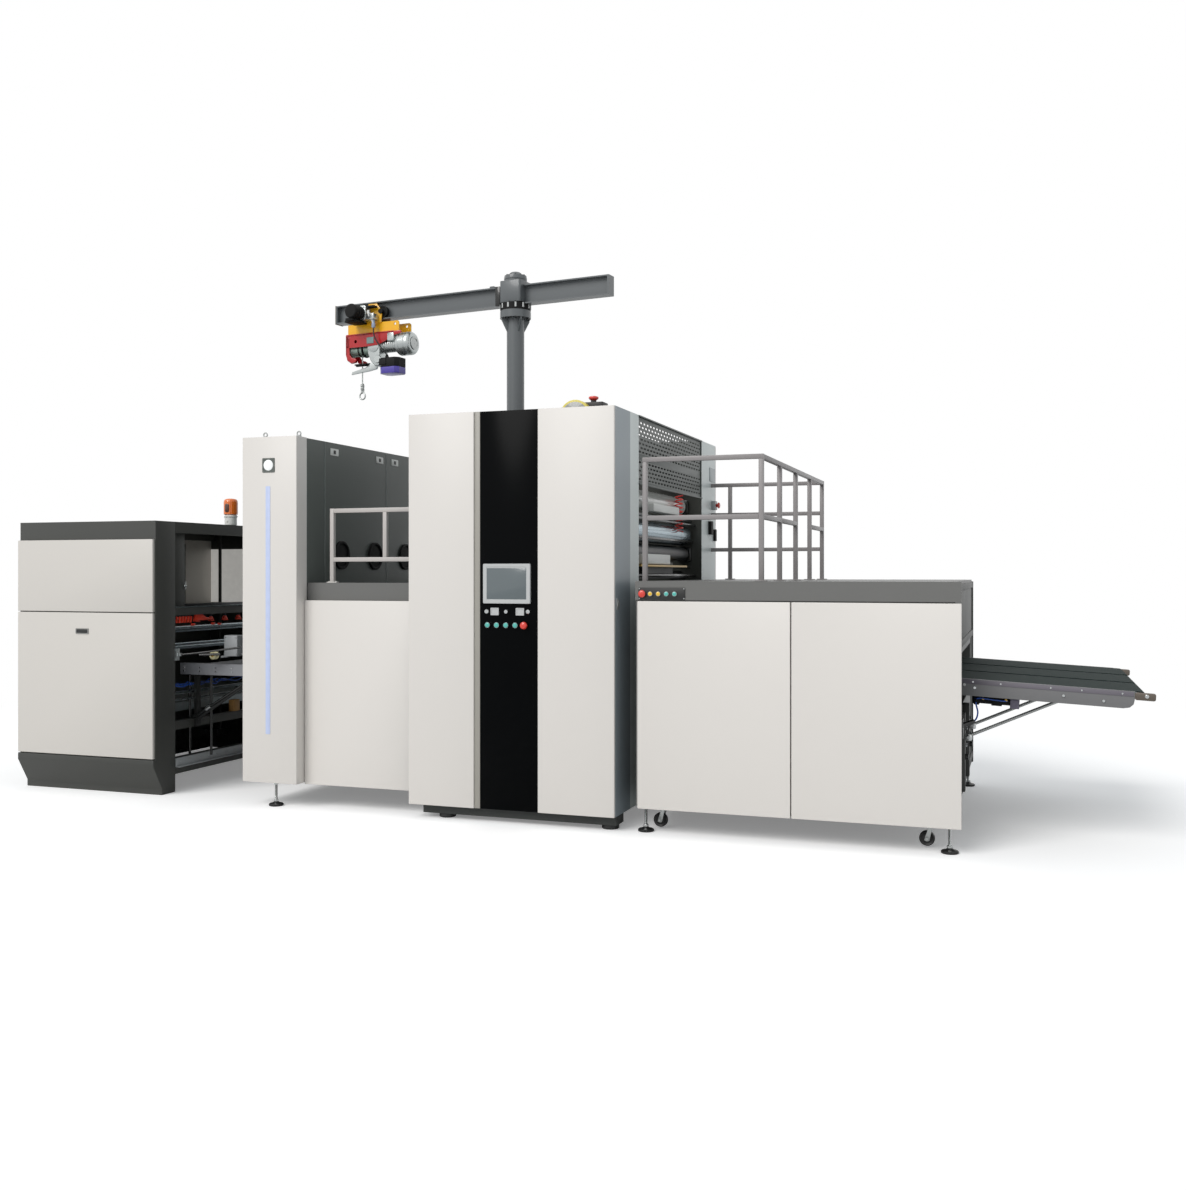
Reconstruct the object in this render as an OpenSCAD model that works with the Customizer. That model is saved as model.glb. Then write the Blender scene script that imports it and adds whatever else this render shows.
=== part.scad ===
// Sheet laminating line: feeder, dust-cleaning housing, roller tower with a jib hoist, and delivery.
// X runs along the sheet's path, Y from the operator's side to the drive side, Z up from the floor.

/* [Line] */
// Depth of the tower, from its operator-side face to its drive-side face
line_depth = 2200; // [1900:10:2600]
// Thickness of the folded cover panels
panel_t = 20; // [12:1:30]
// Width of the shadow gap between neighbouring panels
panel_gap = 6; // [3:1:10]

/* [Feeder] */
// Length of the feeder
feeder_len = 1030; // [900:10:1400]
// Height of the feeder
feeder_h = 1658; // [1500:1:1900]
// Distance of the feeder's panels behind the tower's face
feeder_set = 44; // [20:1:100]
// Depth of each side cabinet of the feeder
feeder_side_d = 202; // [150:1:300]
// Height of the lower edge of the feeder's panels
feeder_panel_z = 226; // [200:1:300]
// Height of the joint between the lower and the upper panel
feeder_split_z = 1104; // [900:1:1250]
// Height of the band above the feeder's panels
feeder_band_h = 112; // [60:1:160]
// Height at which the kick plate starts to slant back
kick_z = 180; // [120:1:195]
// Depth of the slant of the kick plate
kick_set = 77; // [40:1:110]
// Height of the toe below the slant
toe_h = 41; // [20:1:80]
// Height of the pile table's upper face
pile_z = 525; // [500:5:600]
// Diameter of the pile table's guide rods
rod_dia = 24; // [16:1:40]
// Outer diameter of the warning light
beacon_dia = 92; // [60:1:120]
// Height of the warning light
beacon_h = 178; // [120:1:240]

/* [Housing] */
// Length of the open stretch between the feeder and the housing
feed_gap = 655; // [500:5:900]
// Length of the tall housing
housing_len = 362; // [300:1:500]
// Height of the tall housing
housing_h = 2124; // [1800:1:2190]
// Height of the housing above the floor
housing_z = 140; // [110:1:180]
// Distance of the housing's cover behind the tower's face
housing_set = 7; // [0:1:40]
// Depth of the housing's folded cover
cover_d = 108; // [60:1:160]
// Diameter of the ports in the housing's wall
port_dia = 172; // [100:1:240]

/* [Link] */
// Length of the low linking section
link_len = 716; // [600:1:1000]
// Height of the linking section
link_h = 1287; // [1240:1:1400]
// Height of the lower edge of the low covers
low_panel_z = 132; // [115:1:170]
// Height of the upper edge of the linking section's panel
link_panel_top = 1186; // [1100:1:1220]
// Distance of the linking section's panel behind the tower's face
link_set = 85; // [60:1:120]
// Size of the square tube of the light guard rail
light_tube = 25; // [20:1:35]
// Height of the light guard rail above the floor
light_rail_h = 1712; // [1600:1:1800]

/* [Tower] */
// Length of the roller tower
tower_len = 1188; // [1000:1:1500]
// Height of the roller tower
tower_h = 2209; // [2199:1:2400]
// Height of the tower's covers above the floor
tower_z = 78; // [60:1:110]
// Depth of the operator-side cabinet
cabinet_front_d = 425; // [350:1:500]
// Depth of the drive-side cabinet
cabinet_rear_d = 393; // [350:1:500]
// Distance of the glass strip from the tower's left edge
strip_x = 426; // [405:1:450]
// Width of the glass strip
strip_w = 336; // [320:1:360]
// Width of the trim strip beside the glass
trim_w = 34; // [20:1:38]
// Height of the lower edge of the perforated guards
guard_z = 1835; // [1760:1:1900]
// Diameter of the film roll
film_dia = 118; // [90:1:130]
// Diameter of the steel roller
steel_roller_dia = 130; // [100:1:150]
// Diameter of the rubber roller
rubber_roller_dia = 84; // [60:1:96]
// Diameter of the journals of the rollers
journal_dia = 40; // [25:1:50]

/* [Operator panel] */
// Width of the touch panel
touch_w = 272; // [240:1:290]
// Height of the touch panel
touch_h = 212; // [180:1:230]
// Height of the touch panel's middle above the floor
touch_z = 1286; // [1250:1:1400]
// Pitch of the push buttons
button_pitch = 53.5; // [48:0.5:56]
// Diameter of the push buttons
button_dia = 30; // [22:1:38]
// Diameter of the emergency stop's mushroom head
stop_dia = 40; // [30:1:46]
// Height of the row of push buttons
button_z = 1065; // [1040:1:1090]
// Distance that the emergency stop stands out of the tower's face
stop_reach = 30; // [24:1:45]

/* [Jib] */
// Distance of the jib's column from the tower's left side
column_x = 168; // [150:1:260]
// Diameter of the jib's column
column_dia = 110; // [90:1:130]
// Height of the upper face of the column's flange
flange_z = 2976; // [2900:1:3200]
// Diameter of the column's flange
flange_dia = 194; // [170:1:240]
// Height of the jib's I-beam
beam_h = 120; // [100:1:140]
// Width of the I-beam's flanges
beam_w = 74; // [60:1:90]
// Thickness of the I-beam's flanges
beam_flange_t = 8; // [6:1:12]
// Thickness of the I-beam's web
beam_web_t = 6; // [5:1:10]
// Reach of the hoist's arm from the column's axis
long_arm = 1370; // [1350:1:1700]
// Reach of the short arm from the column's axis
short_arm = 665; // [500:1:900]
// Angle by which the jib is turned towards the operator's side at its short arm
jib_turn = 6.6; // [0:0.1:20]
// Distance of the hoist's rope from the column's axis
rope_reach = 1177; // [1150:1:1190]

/* [Delivery] */
// Length of the gap between the tower and the delivery
bridge_len = 104; // [80:1:160]
// Length of the delivery
delivery_len = 1612; // [1400:1:2000]
// Height of the delivery
delivery_h = 1301; // [1270:1:1400]
// Height of the upper edge of the delivery's panels
delivery_panel_top = 1198; // [1150:1:1220]
// Distance of the delivery's panels behind the tower's face
delivery_set = 20; // [0:1:60]
// Length of the left panel of the delivery
left_panel_len = 805; // [700:1:900]
// Size of the square tube of the dark guard rail
dark_tube = 25; // [20:1:35]
// Height of the dark guard rail above the floor
dark_rail_h = 1945; // [1800:1:2000]
// Distance between the front posts of the dark guard rail
dark_rail_len = 613; // [500:1:700]
// Diameter of the caster wheels
caster_dia = 75; // [60:1:76]
// Width of the caster wheels
caster_w = 28; // [20:1:32]
// Diameter of the levelling feet's pads
foot_dia = 84; // [60:1:110]

/* [Conveyor] */
// Reach of the conveyor beyond the delivery
conveyor_reach = 866; // [700:1:1100]
// Width of the conveyor over its side plates
conveyor_w = 1560; // [1400:10:1700]
// Height of the belts where they leave the delivery
conveyor_z = 822; // [800:1:880]
// Fall of the conveyor in degrees
conveyor_fall = 3; // [0:0.5:6]
// Number of belts
belt_count = 3; // [3:1:5]
// Thickness of each belt loop
belt_loop_t = 34; // [28:1:40]

/* [Hidden] */
$fn = 48;

// Places along the line, from the feeder's left end
line_len = feeder_len + feed_gap + housing_len + link_len + tower_len + bridge_len
    + delivery_len + conveyor_reach;
feeder_x0 = -line_len / 2;
feeder_x1 = feeder_x0 + feeder_len;
housing_x0 = feeder_x1 + feed_gap;
housing_x1 = housing_x0 + housing_len;
tower_x0 = housing_x1 + link_len;
tower_x1 = tower_x0 + tower_len;
delivery_x0 = tower_x1 + bridge_len;
delivery_x1 = delivery_x0 + delivery_len;

// Places across the line: the emergency stop is the foremost point, the tower's back the last
tower_y0 = stop_reach - (line_depth + stop_reach) / 2;
tower_y1 = tower_y0 + line_depth;
mid_y = (tower_y0 + tower_y1) / 2;
bay_y0 = tower_y0 + cabinet_front_d;
bay_y1 = tower_y1 - cabinet_rear_d;

running_gap = 0.3;
journal_gap = 0.05;

// One block between two corners
module block(x, y, z) {
    translate([x[0], y[0], z[0]]) cube([x[1] - x[0], y[1] - y[0], z[1] - z[0]]);
}

// The children again on the drive side, and the children on both sides
module drive_side() {
    translate([0, 2 * mid_y, 0]) mirror([0, 1, 0]) children();
}

module both_sides() {
    children();
    drive_side() children();
}

// A profile of Y and Z pairs, drawn out along X
module along_x(x0, x1) {
    translate([x0, 0, 0]) rotate([90, 0, 90]) linear_extrude(x1 - x0) children();
}

// An upright cylinder from z0 to z1
module bar_z(x, y, z0, z1, dia) {
    translate([x, y, z0]) cylinder(h = z1 - z0, d = dia);
}

// A round bar along X or Y, from its first end
module bar_x(x0, x1, y, z, dia) {
    translate([x0, y, z]) rotate([0, 90, 0]) cylinder(h = x1 - x0, d = dia);
}

module bar_y(x, y0, y1, z, dia) {
    translate([x, y0, z]) rotate([-90, 0, 0]) cylinder(h = y1 - y0, d = dia);
}

// Feeder -------------------------------------------------------------------

feeder_y0 = tower_y0 + feeder_set;
feeder_skin_y = feeder_y0 + panel_t;
feeder_in_y = feeder_y0 + feeder_side_d;
feeder_in_y1 = 2 * mid_y - feeder_in_y;
feeder_panel_top = feeder_h - feeder_band_h;
beam_t = 50;
base_beam_z = 109;
base_beam_h = 96;
sill_z = 380;
head_beam_z = 1082;
top_beam_h = 68;
roof_t = 12;
rod_inset_x = 150;
rod_inset_y = 70;
pile_t = 52;
pile_gap = 24;
rod_gap = 1;
end_guard_t = 12;

// Cross-section of one side cabinet, with its slanting kick plate and toe
module side_profile() {
    polygon([
        [feeder_skin_y, feeder_h], [feeder_in_y, feeder_h], [feeder_in_y, 0],
        [feeder_y0 + kick_set, 0], [feeder_y0 + kick_set, toe_h],
        [feeder_y0, kick_z], [feeder_y0, feeder_panel_z - panel_gap],
        [feeder_skin_y, feeder_panel_z - panel_gap]
    ]);
}

module feeder_sides() {
    color("#3d3e3b") both_sides() along_x(feeder_x0, feeder_x1) side_profile();
}

// Beam across the feeder at one end
module feeder_beam(x, z, h) {
    block([x, x + beam_t], [feeder_in_y, feeder_in_y1], [z, z + h]);
}

module feeder_frame() {
    color("#4a4b49") {
        feeder_beam(feeder_x0, base_beam_z, base_beam_h);
        feeder_beam(feeder_x1 - beam_t, base_beam_z, base_beam_h);
        feeder_beam(feeder_x1 - beam_t, sill_z, beam_t);
        feeder_beam(feeder_x1 - beam_t, head_beam_z, beam_t);
        feeder_beam(feeder_x0, feeder_h - top_beam_h, top_beam_h);
        feeder_beam(feeder_x1 - beam_t, feeder_h - top_beam_h, top_beam_h);
        block([feeder_x0, feeder_x1], [feeder_in_y, feeder_in_y1], [feeder_h - roof_t, feeder_h]);
        // Guard that closes the feeder's left end, from the base beam to the upper panel
        block([feeder_x0, feeder_x0 + end_guard_t], [feeder_in_y, feeder_in_y1],
            [base_beam_z + base_beam_h, feeder_split_z]);
        // Guide rods of the pile table, each on a bracket between the base and the roof
        for (x = [feeder_x0 + rod_inset_x, feeder_x1 - rod_inset_x])
            for (y = [feeder_in_y + rod_inset_y, feeder_in_y1 - rod_inset_y])
                translate([x, y, base_beam_z])
                    cylinder(h = feeder_h - roof_t - base_beam_z, d = rod_dia);
        // Rod feet, cantilevered from the base beams
        for (y = [feeder_in_y, feeder_in_y1 - 2 * rod_inset_y]) {
            block([feeder_x0 + beam_t, feeder_x0 + rod_inset_x + rod_dia],
                [y, y + 2 * rod_inset_y], [base_beam_z, base_beam_z + beam_t]);
            block([feeder_x1 - rod_inset_x - rod_dia, feeder_x1 - beam_t],
                [y, y + 2 * rod_inset_y], [base_beam_z, base_beam_z + beam_t]);
        }
    }
}

// One face's upper and lower panel
module feeder_panel_pair() {
    block([feeder_x0, feeder_x1 - panel_gap], [feeder_y0, feeder_skin_y],
        [feeder_panel_z, feeder_split_z - panel_gap / 2]);
    block([feeder_x0, feeder_x1 - panel_gap], [feeder_y0, feeder_skin_y],
        [feeder_split_z + panel_gap / 2, feeder_panel_top]);
}

module feeder_panels() {
    color("#dad6d0") {
        both_sides() feeder_panel_pair();
        block([feeder_x0, feeder_x0 + panel_t], [feeder_in_y, feeder_in_y1],
            [feeder_split_z, feeder_h - top_beam_h]);
    }
}

head_set = 210;
head_x = feeder_x1 - head_set;
head_z = 1098;
head_bar_h = 46;
cup_count = 8;
cup_pitch = 150;
cup_drop = 74;
cup_dia = 46;
cup_neck_dia = 22;
cup_h = 30;
cup_stem_dia = 14;
head_bar_w = 64;

module suction_head() {
    color("#b7382c") {
        block([head_x - head_bar_w / 2, head_x + head_bar_w / 2], [feeder_in_y, feeder_in_y1],
            [head_z, head_z + head_bar_h]);
        for (i = [0 : cup_count - 1])
            translate([head_x, mid_y + (i - (cup_count - 1) / 2) * cup_pitch, head_z - cup_drop]) {
                cylinder(h = cup_drop, d = cup_stem_dia);
                cylinder(h = cup_h, d1 = cup_dia, d2 = cup_neck_dia);
            }
    }
}

pile_x0 = feeder_x0 + beam_t + pile_gap;
pile_end_gap = 64;
pile_x1 = feeder_x1 - beam_t - pile_end_gap;

module pile_table() {
    color("#8b9498") difference() {
        block([pile_x0, pile_x1], [feeder_in_y + pile_gap, feeder_in_y1 - pile_gap],
            [pile_z - pile_t, pile_z]);
        for (x = [feeder_x0 + rod_inset_x, feeder_x1 - rod_inset_x])
            for (y = [feeder_in_y + rod_inset_y, feeder_in_y1 - rod_inset_y])
                translate([x, y, pile_z - pile_t - 1])
                    cylinder(h = pile_t + 2, d = rod_dia + 2 * rod_gap);
    }
}

channel_h = 70;
channel_w = 40;
channel_z = 706;
channel_y = bay_y0;
deck_t = 12;
deck_drop = 8;
end_plate_w = 70;
end_plate_lip = 20;
strut_tilt = 58;
strut_body_dia = 26;
strut_bed = 10;
hanger_t = 20;
channel_run_in = 104;
strut_len = (channel_z - sill_z - beam_t) / cos(strut_tilt) + strut_bed;

// Feed board between the feeder and the housing, on two side channels
module transfer_table() {
    color("#8f908e") {
        table_y1 = bay_y1 - channel_w;
        for (y = [channel_y, table_y1])
            block([feeder_x1 - channel_run_in, housing_x0], [y, y + channel_w],
                [channel_z, channel_z + channel_h]);
        block([feeder_x1, housing_x0], [channel_y + channel_w, table_y1],
            [channel_z + channel_h - deck_drop - deck_t, channel_z + channel_h - deck_drop]);
        // End plates that bolt the channels to the housing, beside the slot
        for (y = [channel_y - end_plate_w, bay_y1])
            block([housing_x0 - deck_t, housing_x0], [y, y + end_plate_w],
                [channel_z - end_plate_lip, channel_z + channel_h + end_plate_lip]);
        // Hangers from the feeder's sill to the channels
        for (y = [channel_y, table_y1])
            block([feeder_x1, feeder_x1 + hanger_t], [y, y + channel_w], [sill_z, channel_z]);
        // Gas struts that carry the board
        for (y = [channel_y + channel_w / 2, table_y1 + channel_w / 2])
            translate([feeder_x1 + hanger_t / 2, y, sill_z + beam_t])
                rotate([0, strut_tilt, 0]) cylinder(h = strut_len, d = strut_body_dia);
    }
}

beacon_inset = 42;
beacon_x = feeder_x1 - beacon_inset;
beacon_y = mid_y - 240;
beacon_base_h = 72;
beacon_base_share = 0.86;
beacon_crown_h = 12;

module beacon() {
    color("#c9762a") translate([beacon_x, beacon_y, feeder_h]) {
        cylinder(h = beacon_base_h, d = beacon_dia * beacon_base_share);
        bar_z(0, 0, beacon_base_h, beacon_h - beacon_crown_h, beacon_dia);
        translate([0, 0, beacon_h - beacon_crown_h])
            cylinder(h = beacon_crown_h, d1 = beacon_dia, d2 = beacon_dia - 2 * beacon_crown_h);
    }
}

// Housing ------------------------------------------------------------------

housing_y0 = tower_y0 + housing_set;
housing_in_y = housing_y0 + cover_d;
housing_in_y1 = 2 * mid_y - housing_in_y;
wall_set = 3;
slot_drop = 30;
slot_z0 = channel_z - slot_drop;
slot_h = 240;
slot_margin = 20;
slot_y0 = bay_y0 - slot_margin;
slot_y1 = bay_y1 + slot_margin;

module housing_body() {
    color("#454a49") difference() {
        block([housing_x0, housing_x1 - wall_set], [housing_in_y, housing_in_y1],
            [housing_z, housing_h - wall_set]);
        // Slot that the sheets pass through
        block([housing_x0 - 1, housing_x1 + 1], [slot_y0, slot_y1], [slot_z0, slot_z0 + slot_h]);
    }
}

module housing_covers() {
    color("#dad6d0") both_sides()
        block([housing_x0, housing_x1], [housing_y0, housing_in_y], [housing_z, housing_h]);
}

led_w = 30;
led_t = 2;
led_z0 = housing_z + 280;
led_z1 = housing_h - 284;
led_x = housing_x0 + 173;
lamp_drop = 164;
lamp_z = housing_h - lamp_drop;
lamp_frame = 82;
lamp_frame_t = 4;
lamp_reach = 6;
lamp_dia = 58;
lamp_x = led_x + 4;

port_z = 1450;
port_pitch = 405;
port_count = 4;
port_depth = 15;
port_hole_depth = 10;
port_wall = 12;
eye_wire = 8;
eye_radius = 12;
eye_boss_dia = 30;
eye_boss_h = 8;
eye_inset = 60;
eye_x0 = 115;
eye_x1 = 22;

module housing_fittings() {
    color("#1d1e1e") {
        // Light strip, and the lamp above it
        block([led_x - led_w / 2, led_x + led_w / 2], [housing_y0 - led_t, housing_y0],
            [led_z0, led_z1]);
        frame_y = housing_y0 - lamp_frame_t;
        block([lamp_x - lamp_frame / 2, lamp_x + lamp_frame / 2], [frame_y, housing_y0],
            [lamp_z - lamp_frame / 2, lamp_z + lamp_frame / 2]);
        bar_y(lamp_x, frame_y - lamp_reach, frame_y, lamp_z, lamp_dia);
        // Black ports on the wall that faces the tower
        for (i = [0 : port_count - 1])
            translate([housing_x1 - wall_set, mid_y + (i - (port_count - 1) / 2) * port_pitch, port_z])
                rotate([0, 90, 0]) difference() {
                    cylinder(h = port_depth, d = port_dia);
                    translate([0, 0, port_depth - port_hole_depth])
                        cylinder(h = port_hole_depth + 1, d = port_dia - 2 * port_wall);
                }
        // Lifting eyes on the roof
        for (x = [housing_x0 + eye_x0, housing_x1 - eye_x1])
            for (y = [housing_y0 + eye_inset, 2 * mid_y - housing_y0 - eye_inset])
                translate([x, y, housing_h]) {
                    cylinder(h = eye_boss_h, d = eye_boss_dia);
                    translate([0, 0, eye_boss_h + eye_radius - eye_wire / 2 + 2])
                        rotate([90, 0, 0]) rotate_extrude() translate([eye_radius, 0]) circle(d = eye_wire);
                }
    }
}

// Link ---------------------------------------------------------------------

link_panel_t = 35;
link_skin_y = tower_y0 + link_set + link_panel_t;
link_far_y = 2 * mid_y - link_skin_y;
link_wall_d = 110;
link_toe = 20;
deck_z = channel_z + channel_h - deck_drop;

module link_body() {
    color("#4c4c4a") along_x(housing_x1, tower_x0) polygon([
        [link_skin_y, low_panel_z + link_toe], [link_skin_y, link_h],
        [link_skin_y + link_wall_d, link_h], [link_skin_y + link_wall_d, deck_z],
        [link_far_y - link_wall_d, deck_z], [link_far_y - link_wall_d, link_h],
        [link_far_y, link_h], [link_far_y, low_panel_z + link_toe]
    ]);
}

module link_panels() {
    color("#dad6d0") both_sides()
        block([housing_x1, tower_x0], [tower_y0 + link_set, link_skin_y],
            [low_panel_z, link_panel_top]);
}

light_rail_y = link_skin_y + light_tube;
light_post_set = 152;
light_post_x = housing_x1 + light_post_set;
light_post_pitch = 342;
light_mid_drop = 292;

// A full post at the left end, and a short one between the two rails
module light_rail_side() {
    top = light_rail_h - light_tube;
    mid = top - light_mid_drop + light_tube / 2;
    for (p = [[light_post_x, link_h], [light_post_x + light_post_pitch, mid]])
        block([p[0] - light_tube / 2, p[0] + light_tube / 2],
            [light_rail_y - light_tube / 2, light_rail_y + light_tube / 2], [p[1], light_rail_h]);
    for (z = [mid, top])
        block([light_post_x, tower_x0], [light_rail_y - light_tube / 2, light_rail_y + light_tube / 2],
            [z, z + light_tube]);
}

module link_rails() {
    color("#a5a09d") both_sides() light_rail_side();
}

// Tower --------------------------------------------------------------------

cabinet_y0 = tower_y0 + panel_t;
cabinet_y1 = tower_y1 - panel_t;
bore_depth = 30;
journal_end_gap = 5;
film_set = 130;
film_x = tower_x1 - film_set;
film_z = 1772;
film_margin = 141;
steel_set = 120;
steel_x = tower_x1 - steel_set;
steel_z = 1586;
steel_margin = 66;
rubber_set = 110;
rubber_x = tower_x1 - rubber_set;
rubber_z = 1464;
rubber_margin = 76;

// Blind bores for one roller's journals
module journal_bores(x, z) {
    bar_y(x, bay_y0 - bore_depth, bay_y1 + bore_depth, z, journal_dia + 2 * journal_gap);
}

module tower_cabinets() {
    color("#a3acac") difference() {
        union() {
            block([tower_x0, tower_x1], [cabinet_y0, bay_y0], [tower_z, tower_h]);
            block([tower_x0, tower_x1], [bay_y1, cabinet_y1], [tower_z, tower_h]);
        }
        journal_bores(film_x, film_z);
        journal_bores(steel_x, steel_z);
        journal_bores(rubber_x, rubber_z);
    }
}

module tower_panels() {
    color("#dad6d0") {
        block([tower_x0, tower_x0 + strip_x - trim_w], [tower_y0, cabinet_y0], [tower_z, tower_h]);
        block([tower_x0 + strip_x + strip_w, tower_x1], [tower_y0, cabinet_y0], [tower_z, tower_h]);
        half = (tower_x0 + tower_x1) / 2;
        block([tower_x0, half - panel_gap / 2], [cabinet_y1, tower_y1], [tower_z, tower_h]);
        block([half + panel_gap / 2, tower_x1], [cabinet_y1, tower_y1], [tower_z, tower_h]);
    }
}

glass_t = 12;
glass_y = cabinet_y0 - glass_t;

module glass_strip() {
    color("#101112")
        block([tower_x0 + strip_x, tower_x0 + strip_x + strip_w], [glass_y, cabinet_y0],
            [tower_z, tower_h]);
}

touch_inset = 23;
touch_x = tower_x0 + strip_x + touch_inset;
touch_t = 14;
button_x0 = touch_x + 26;
button_reach = 18;
stop_neck = 16;
switch_z = button_z + 72;
key_x = button_x0 - 8;
key_dia = 24;
key_reach = 10;
knob_x = key_x + 118;
knob_dia = 24;
knob_reach = 22;
eye_x = knob_x + 120;
eye_face_dia = 22;
eye_reach = 8;
socket_w = 48;
socket_h = 40;
socket_t = 5;
roof_box_w = 112;
roof_box_d = 90;
roof_box_h = 40;
roof_box_set = 105;
roof_box_y = 124;
roof_stop_set = 172;
roof_stop_neck = 13;
roof_stop_neck_dia = 30;
roof_stop_dia = 54;
roof_stop_h = 24;
gauge_set = 243;
gauge_y = 70;
gauge_t = 50;
gauge_dia = 170;
gauge_rise = -37;

module operator_panel() {
    color("#b9bbbb") {
        block([touch_x, touch_x + touch_w], [glass_y - touch_t, glass_y],
            [touch_z - touch_h / 2, touch_z + touch_h / 2]);
        for (i = [0 : 3])
            bar_y(button_x0 + i * button_pitch, glass_y - button_reach, glass_y, button_z, button_dia);
        stop_x = button_x0 + 4 * button_pitch;
        bar_y(stop_x, glass_y - stop_neck, glass_y, button_z, button_dia);
        bar_y(stop_x, tower_y0 - stop_reach, glass_y - stop_neck, button_z, stop_dia);
        // Key, socket, knob, socket and light sensor, above the buttons
        for (x = [(key_x + knob_x) / 2 - 13, (knob_x + eye_x) / 2 + 14])
            block([x - socket_w / 2, x + socket_w / 2], [glass_y - socket_t, glass_y],
                [switch_z - socket_h / 2, switch_z + socket_h / 2]);
        bar_y(key_x, glass_y - key_reach, glass_y, switch_z, key_dia);
        bar_y(knob_x, glass_y - knob_reach, glass_y, switch_z, knob_dia);
        bar_y(eye_x, glass_y - eye_reach, glass_y, switch_z, eye_face_dia);
        // Emergency stop and air gauge on the tower's roof
        block([tower_x1 - roof_box_set - roof_box_w, tower_x1 - roof_box_set],
            [tower_y0 + roof_box_y, tower_y0 + roof_box_y + roof_box_d],
            [tower_h, tower_h + roof_box_h]);
        translate([tower_x1 - roof_stop_set, tower_y0 + roof_box_y + roof_box_d / 2, tower_h + roof_box_h]) {
            cylinder(h = roof_stop_neck, d = roof_stop_neck_dia);
            bar_z(0, 0, roof_stop_neck, roof_stop_neck + roof_stop_h, roof_stop_dia);
        }
        difference() {
            bar_y(tower_x1 - gauge_set, tower_y0 + gauge_y, tower_y0 + gauge_y + gauge_t,
                tower_h + gauge_rise, gauge_dia);
            block([tower_x1 - gauge_set - gauge_dia, tower_x1 - gauge_set + gauge_dia / 2 + 2],
                [tower_y0 + gauge_y - 1, tower_y0 + gauge_y + gauge_t + 1],
                [tower_h - gauge_dia, tower_h]);
        }
    }
}

guard_t = 6;
guard_set = 10;

module tower_guards() {
    color("#4d5552") for (x = [tower_x0 + guard_set, tower_x1 - guard_set - guard_t])
        block([x, x + guard_t], [bay_y0, bay_y1], [guard_z, tower_h]);
}

roof_beam_drop = 19;
roof_beam_top = tower_h - roof_beam_drop;
roof_beam_h = 140;
roof_beam_w = 240;
end_beam_w = 120;
base_inset = 60;
core_top = 700;
base_beam_w = 120;
base_beam_inset = 40;
base_beam_low = 26;
base_end_inset = 8;
tray_h = 68;
tray_w = 120;
tray_y0 = bay_y0 + 345;
tray_y1 = bay_y1 - 447;
carrier_h = 30;
carrier_w = 60;
tray_top = rubber_z - rubber_roller_dia / 2 - 14;

module tower_frame() {
    color("#3f4341") {
        for (x = [[tower_x0 + column_x - roof_beam_w / 2, tower_x0 + column_x + roof_beam_w / 2],
                [tower_x1 - 3 * end_beam_w, tower_x1 - 2 * end_beam_w]])
            block(x, [bay_y0, bay_y1], [roof_beam_top - roof_beam_h, roof_beam_top]);
        block([tower_x0 + base_inset, tower_x1 - base_inset], [bay_y0, bay_y1], [tower_z, core_top]);
        // Tray below the rubber roller, on its carrier bar
        tray_x = rubber_x - 20;
        block([tray_x - carrier_w / 2, tray_x + carrier_w / 2], [bay_y0, bay_y1],
            [tray_top - tray_h - carrier_h, tray_top - tray_h]);
        block([tray_x - tray_w / 2, tray_x + tray_w / 2], [tray_y0, tray_y1],
            [tray_top - tray_h, tray_top]);
        // Base beams under the two cabinets
        for (y = [cabinet_y0 + base_beam_inset, cabinet_y1 - base_beam_inset - base_beam_w])
            block([tower_x0 + base_inset, tower_x1 - base_end_inset], [y, y + base_beam_w],
                [base_beam_low, tower_z]);
    }
}

// A roller with its two journals, its face ending short of the cabinets by a margin
module roller(x, z, dia, margin) {
    bar_y(x, bay_y0 - bore_depth + journal_end_gap, bay_y1 + bore_depth - journal_end_gap, z, journal_dia);
    bar_y(x, bay_y0 + margin, bay_y1 - margin, z, dia);
}

module steel_roller() color("#8797a1") roller(steel_x, steel_z, steel_roller_dia, steel_margin);

module rubber_roller()
    color("#1b1c1c") roller(rubber_x, rubber_z, rubber_roller_dia, rubber_margin);

module film_roll() color("#dcdcd8") roller(film_x, film_z, film_dia, film_margin);

// Jib ----------------------------------------------------------------------

jib_x = tower_x0 + column_x;
flange_t = 38;
base_flange_t = 20;
gusset_h = 92;
gusset_t = 10;
gusset_bed = 3;
gusset_lip = 14;
spigot_dia = 60;
spigot_h = 60;

module jib_column() {
    gusset_r = flange_dia / 2 - 4;
    gusset_in = column_dia / 2 - gusset_bed;
    color("#5a5e60") translate([jib_x, mid_y, 0]) {
        bar_z(0, 0, roof_beam_top, flange_z, column_dia);
        bar_z(0, 0, roof_beam_top, roof_beam_top + base_flange_t, flange_dia);
        bar_z(0, 0, flange_z - flange_t, flange_z, flange_dia);
        bar_z(0, 0, flange_z, flange_z + spigot_h, spigot_dia);
        for (a = [45 : 90 : 315])
            rotate([0, 0, a]) translate([0, gusset_t / 2, flange_z - flange_t]) rotate([90, 0, 0])
                linear_extrude(gusset_t) polygon([[gusset_in, 0], [gusset_r, 0],
                    [gusset_r, -gusset_lip], [gusset_in, -gusset_h]]);
    }
}

ring_h = 50;
ring_dia = flange_dia - 4;
hub_h = 150;
hub_dia = 146;
cap_dia = 137;
cap_h = 30;
dome_h = 22;
beam_rise = 45;
beam_low_z = flange_z + beam_rise;
splice_x = 116;
plate_t = 12;
splice_lip = 6;
stop_len = 30;
stop_w = 40;
stop_h = 14;

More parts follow.
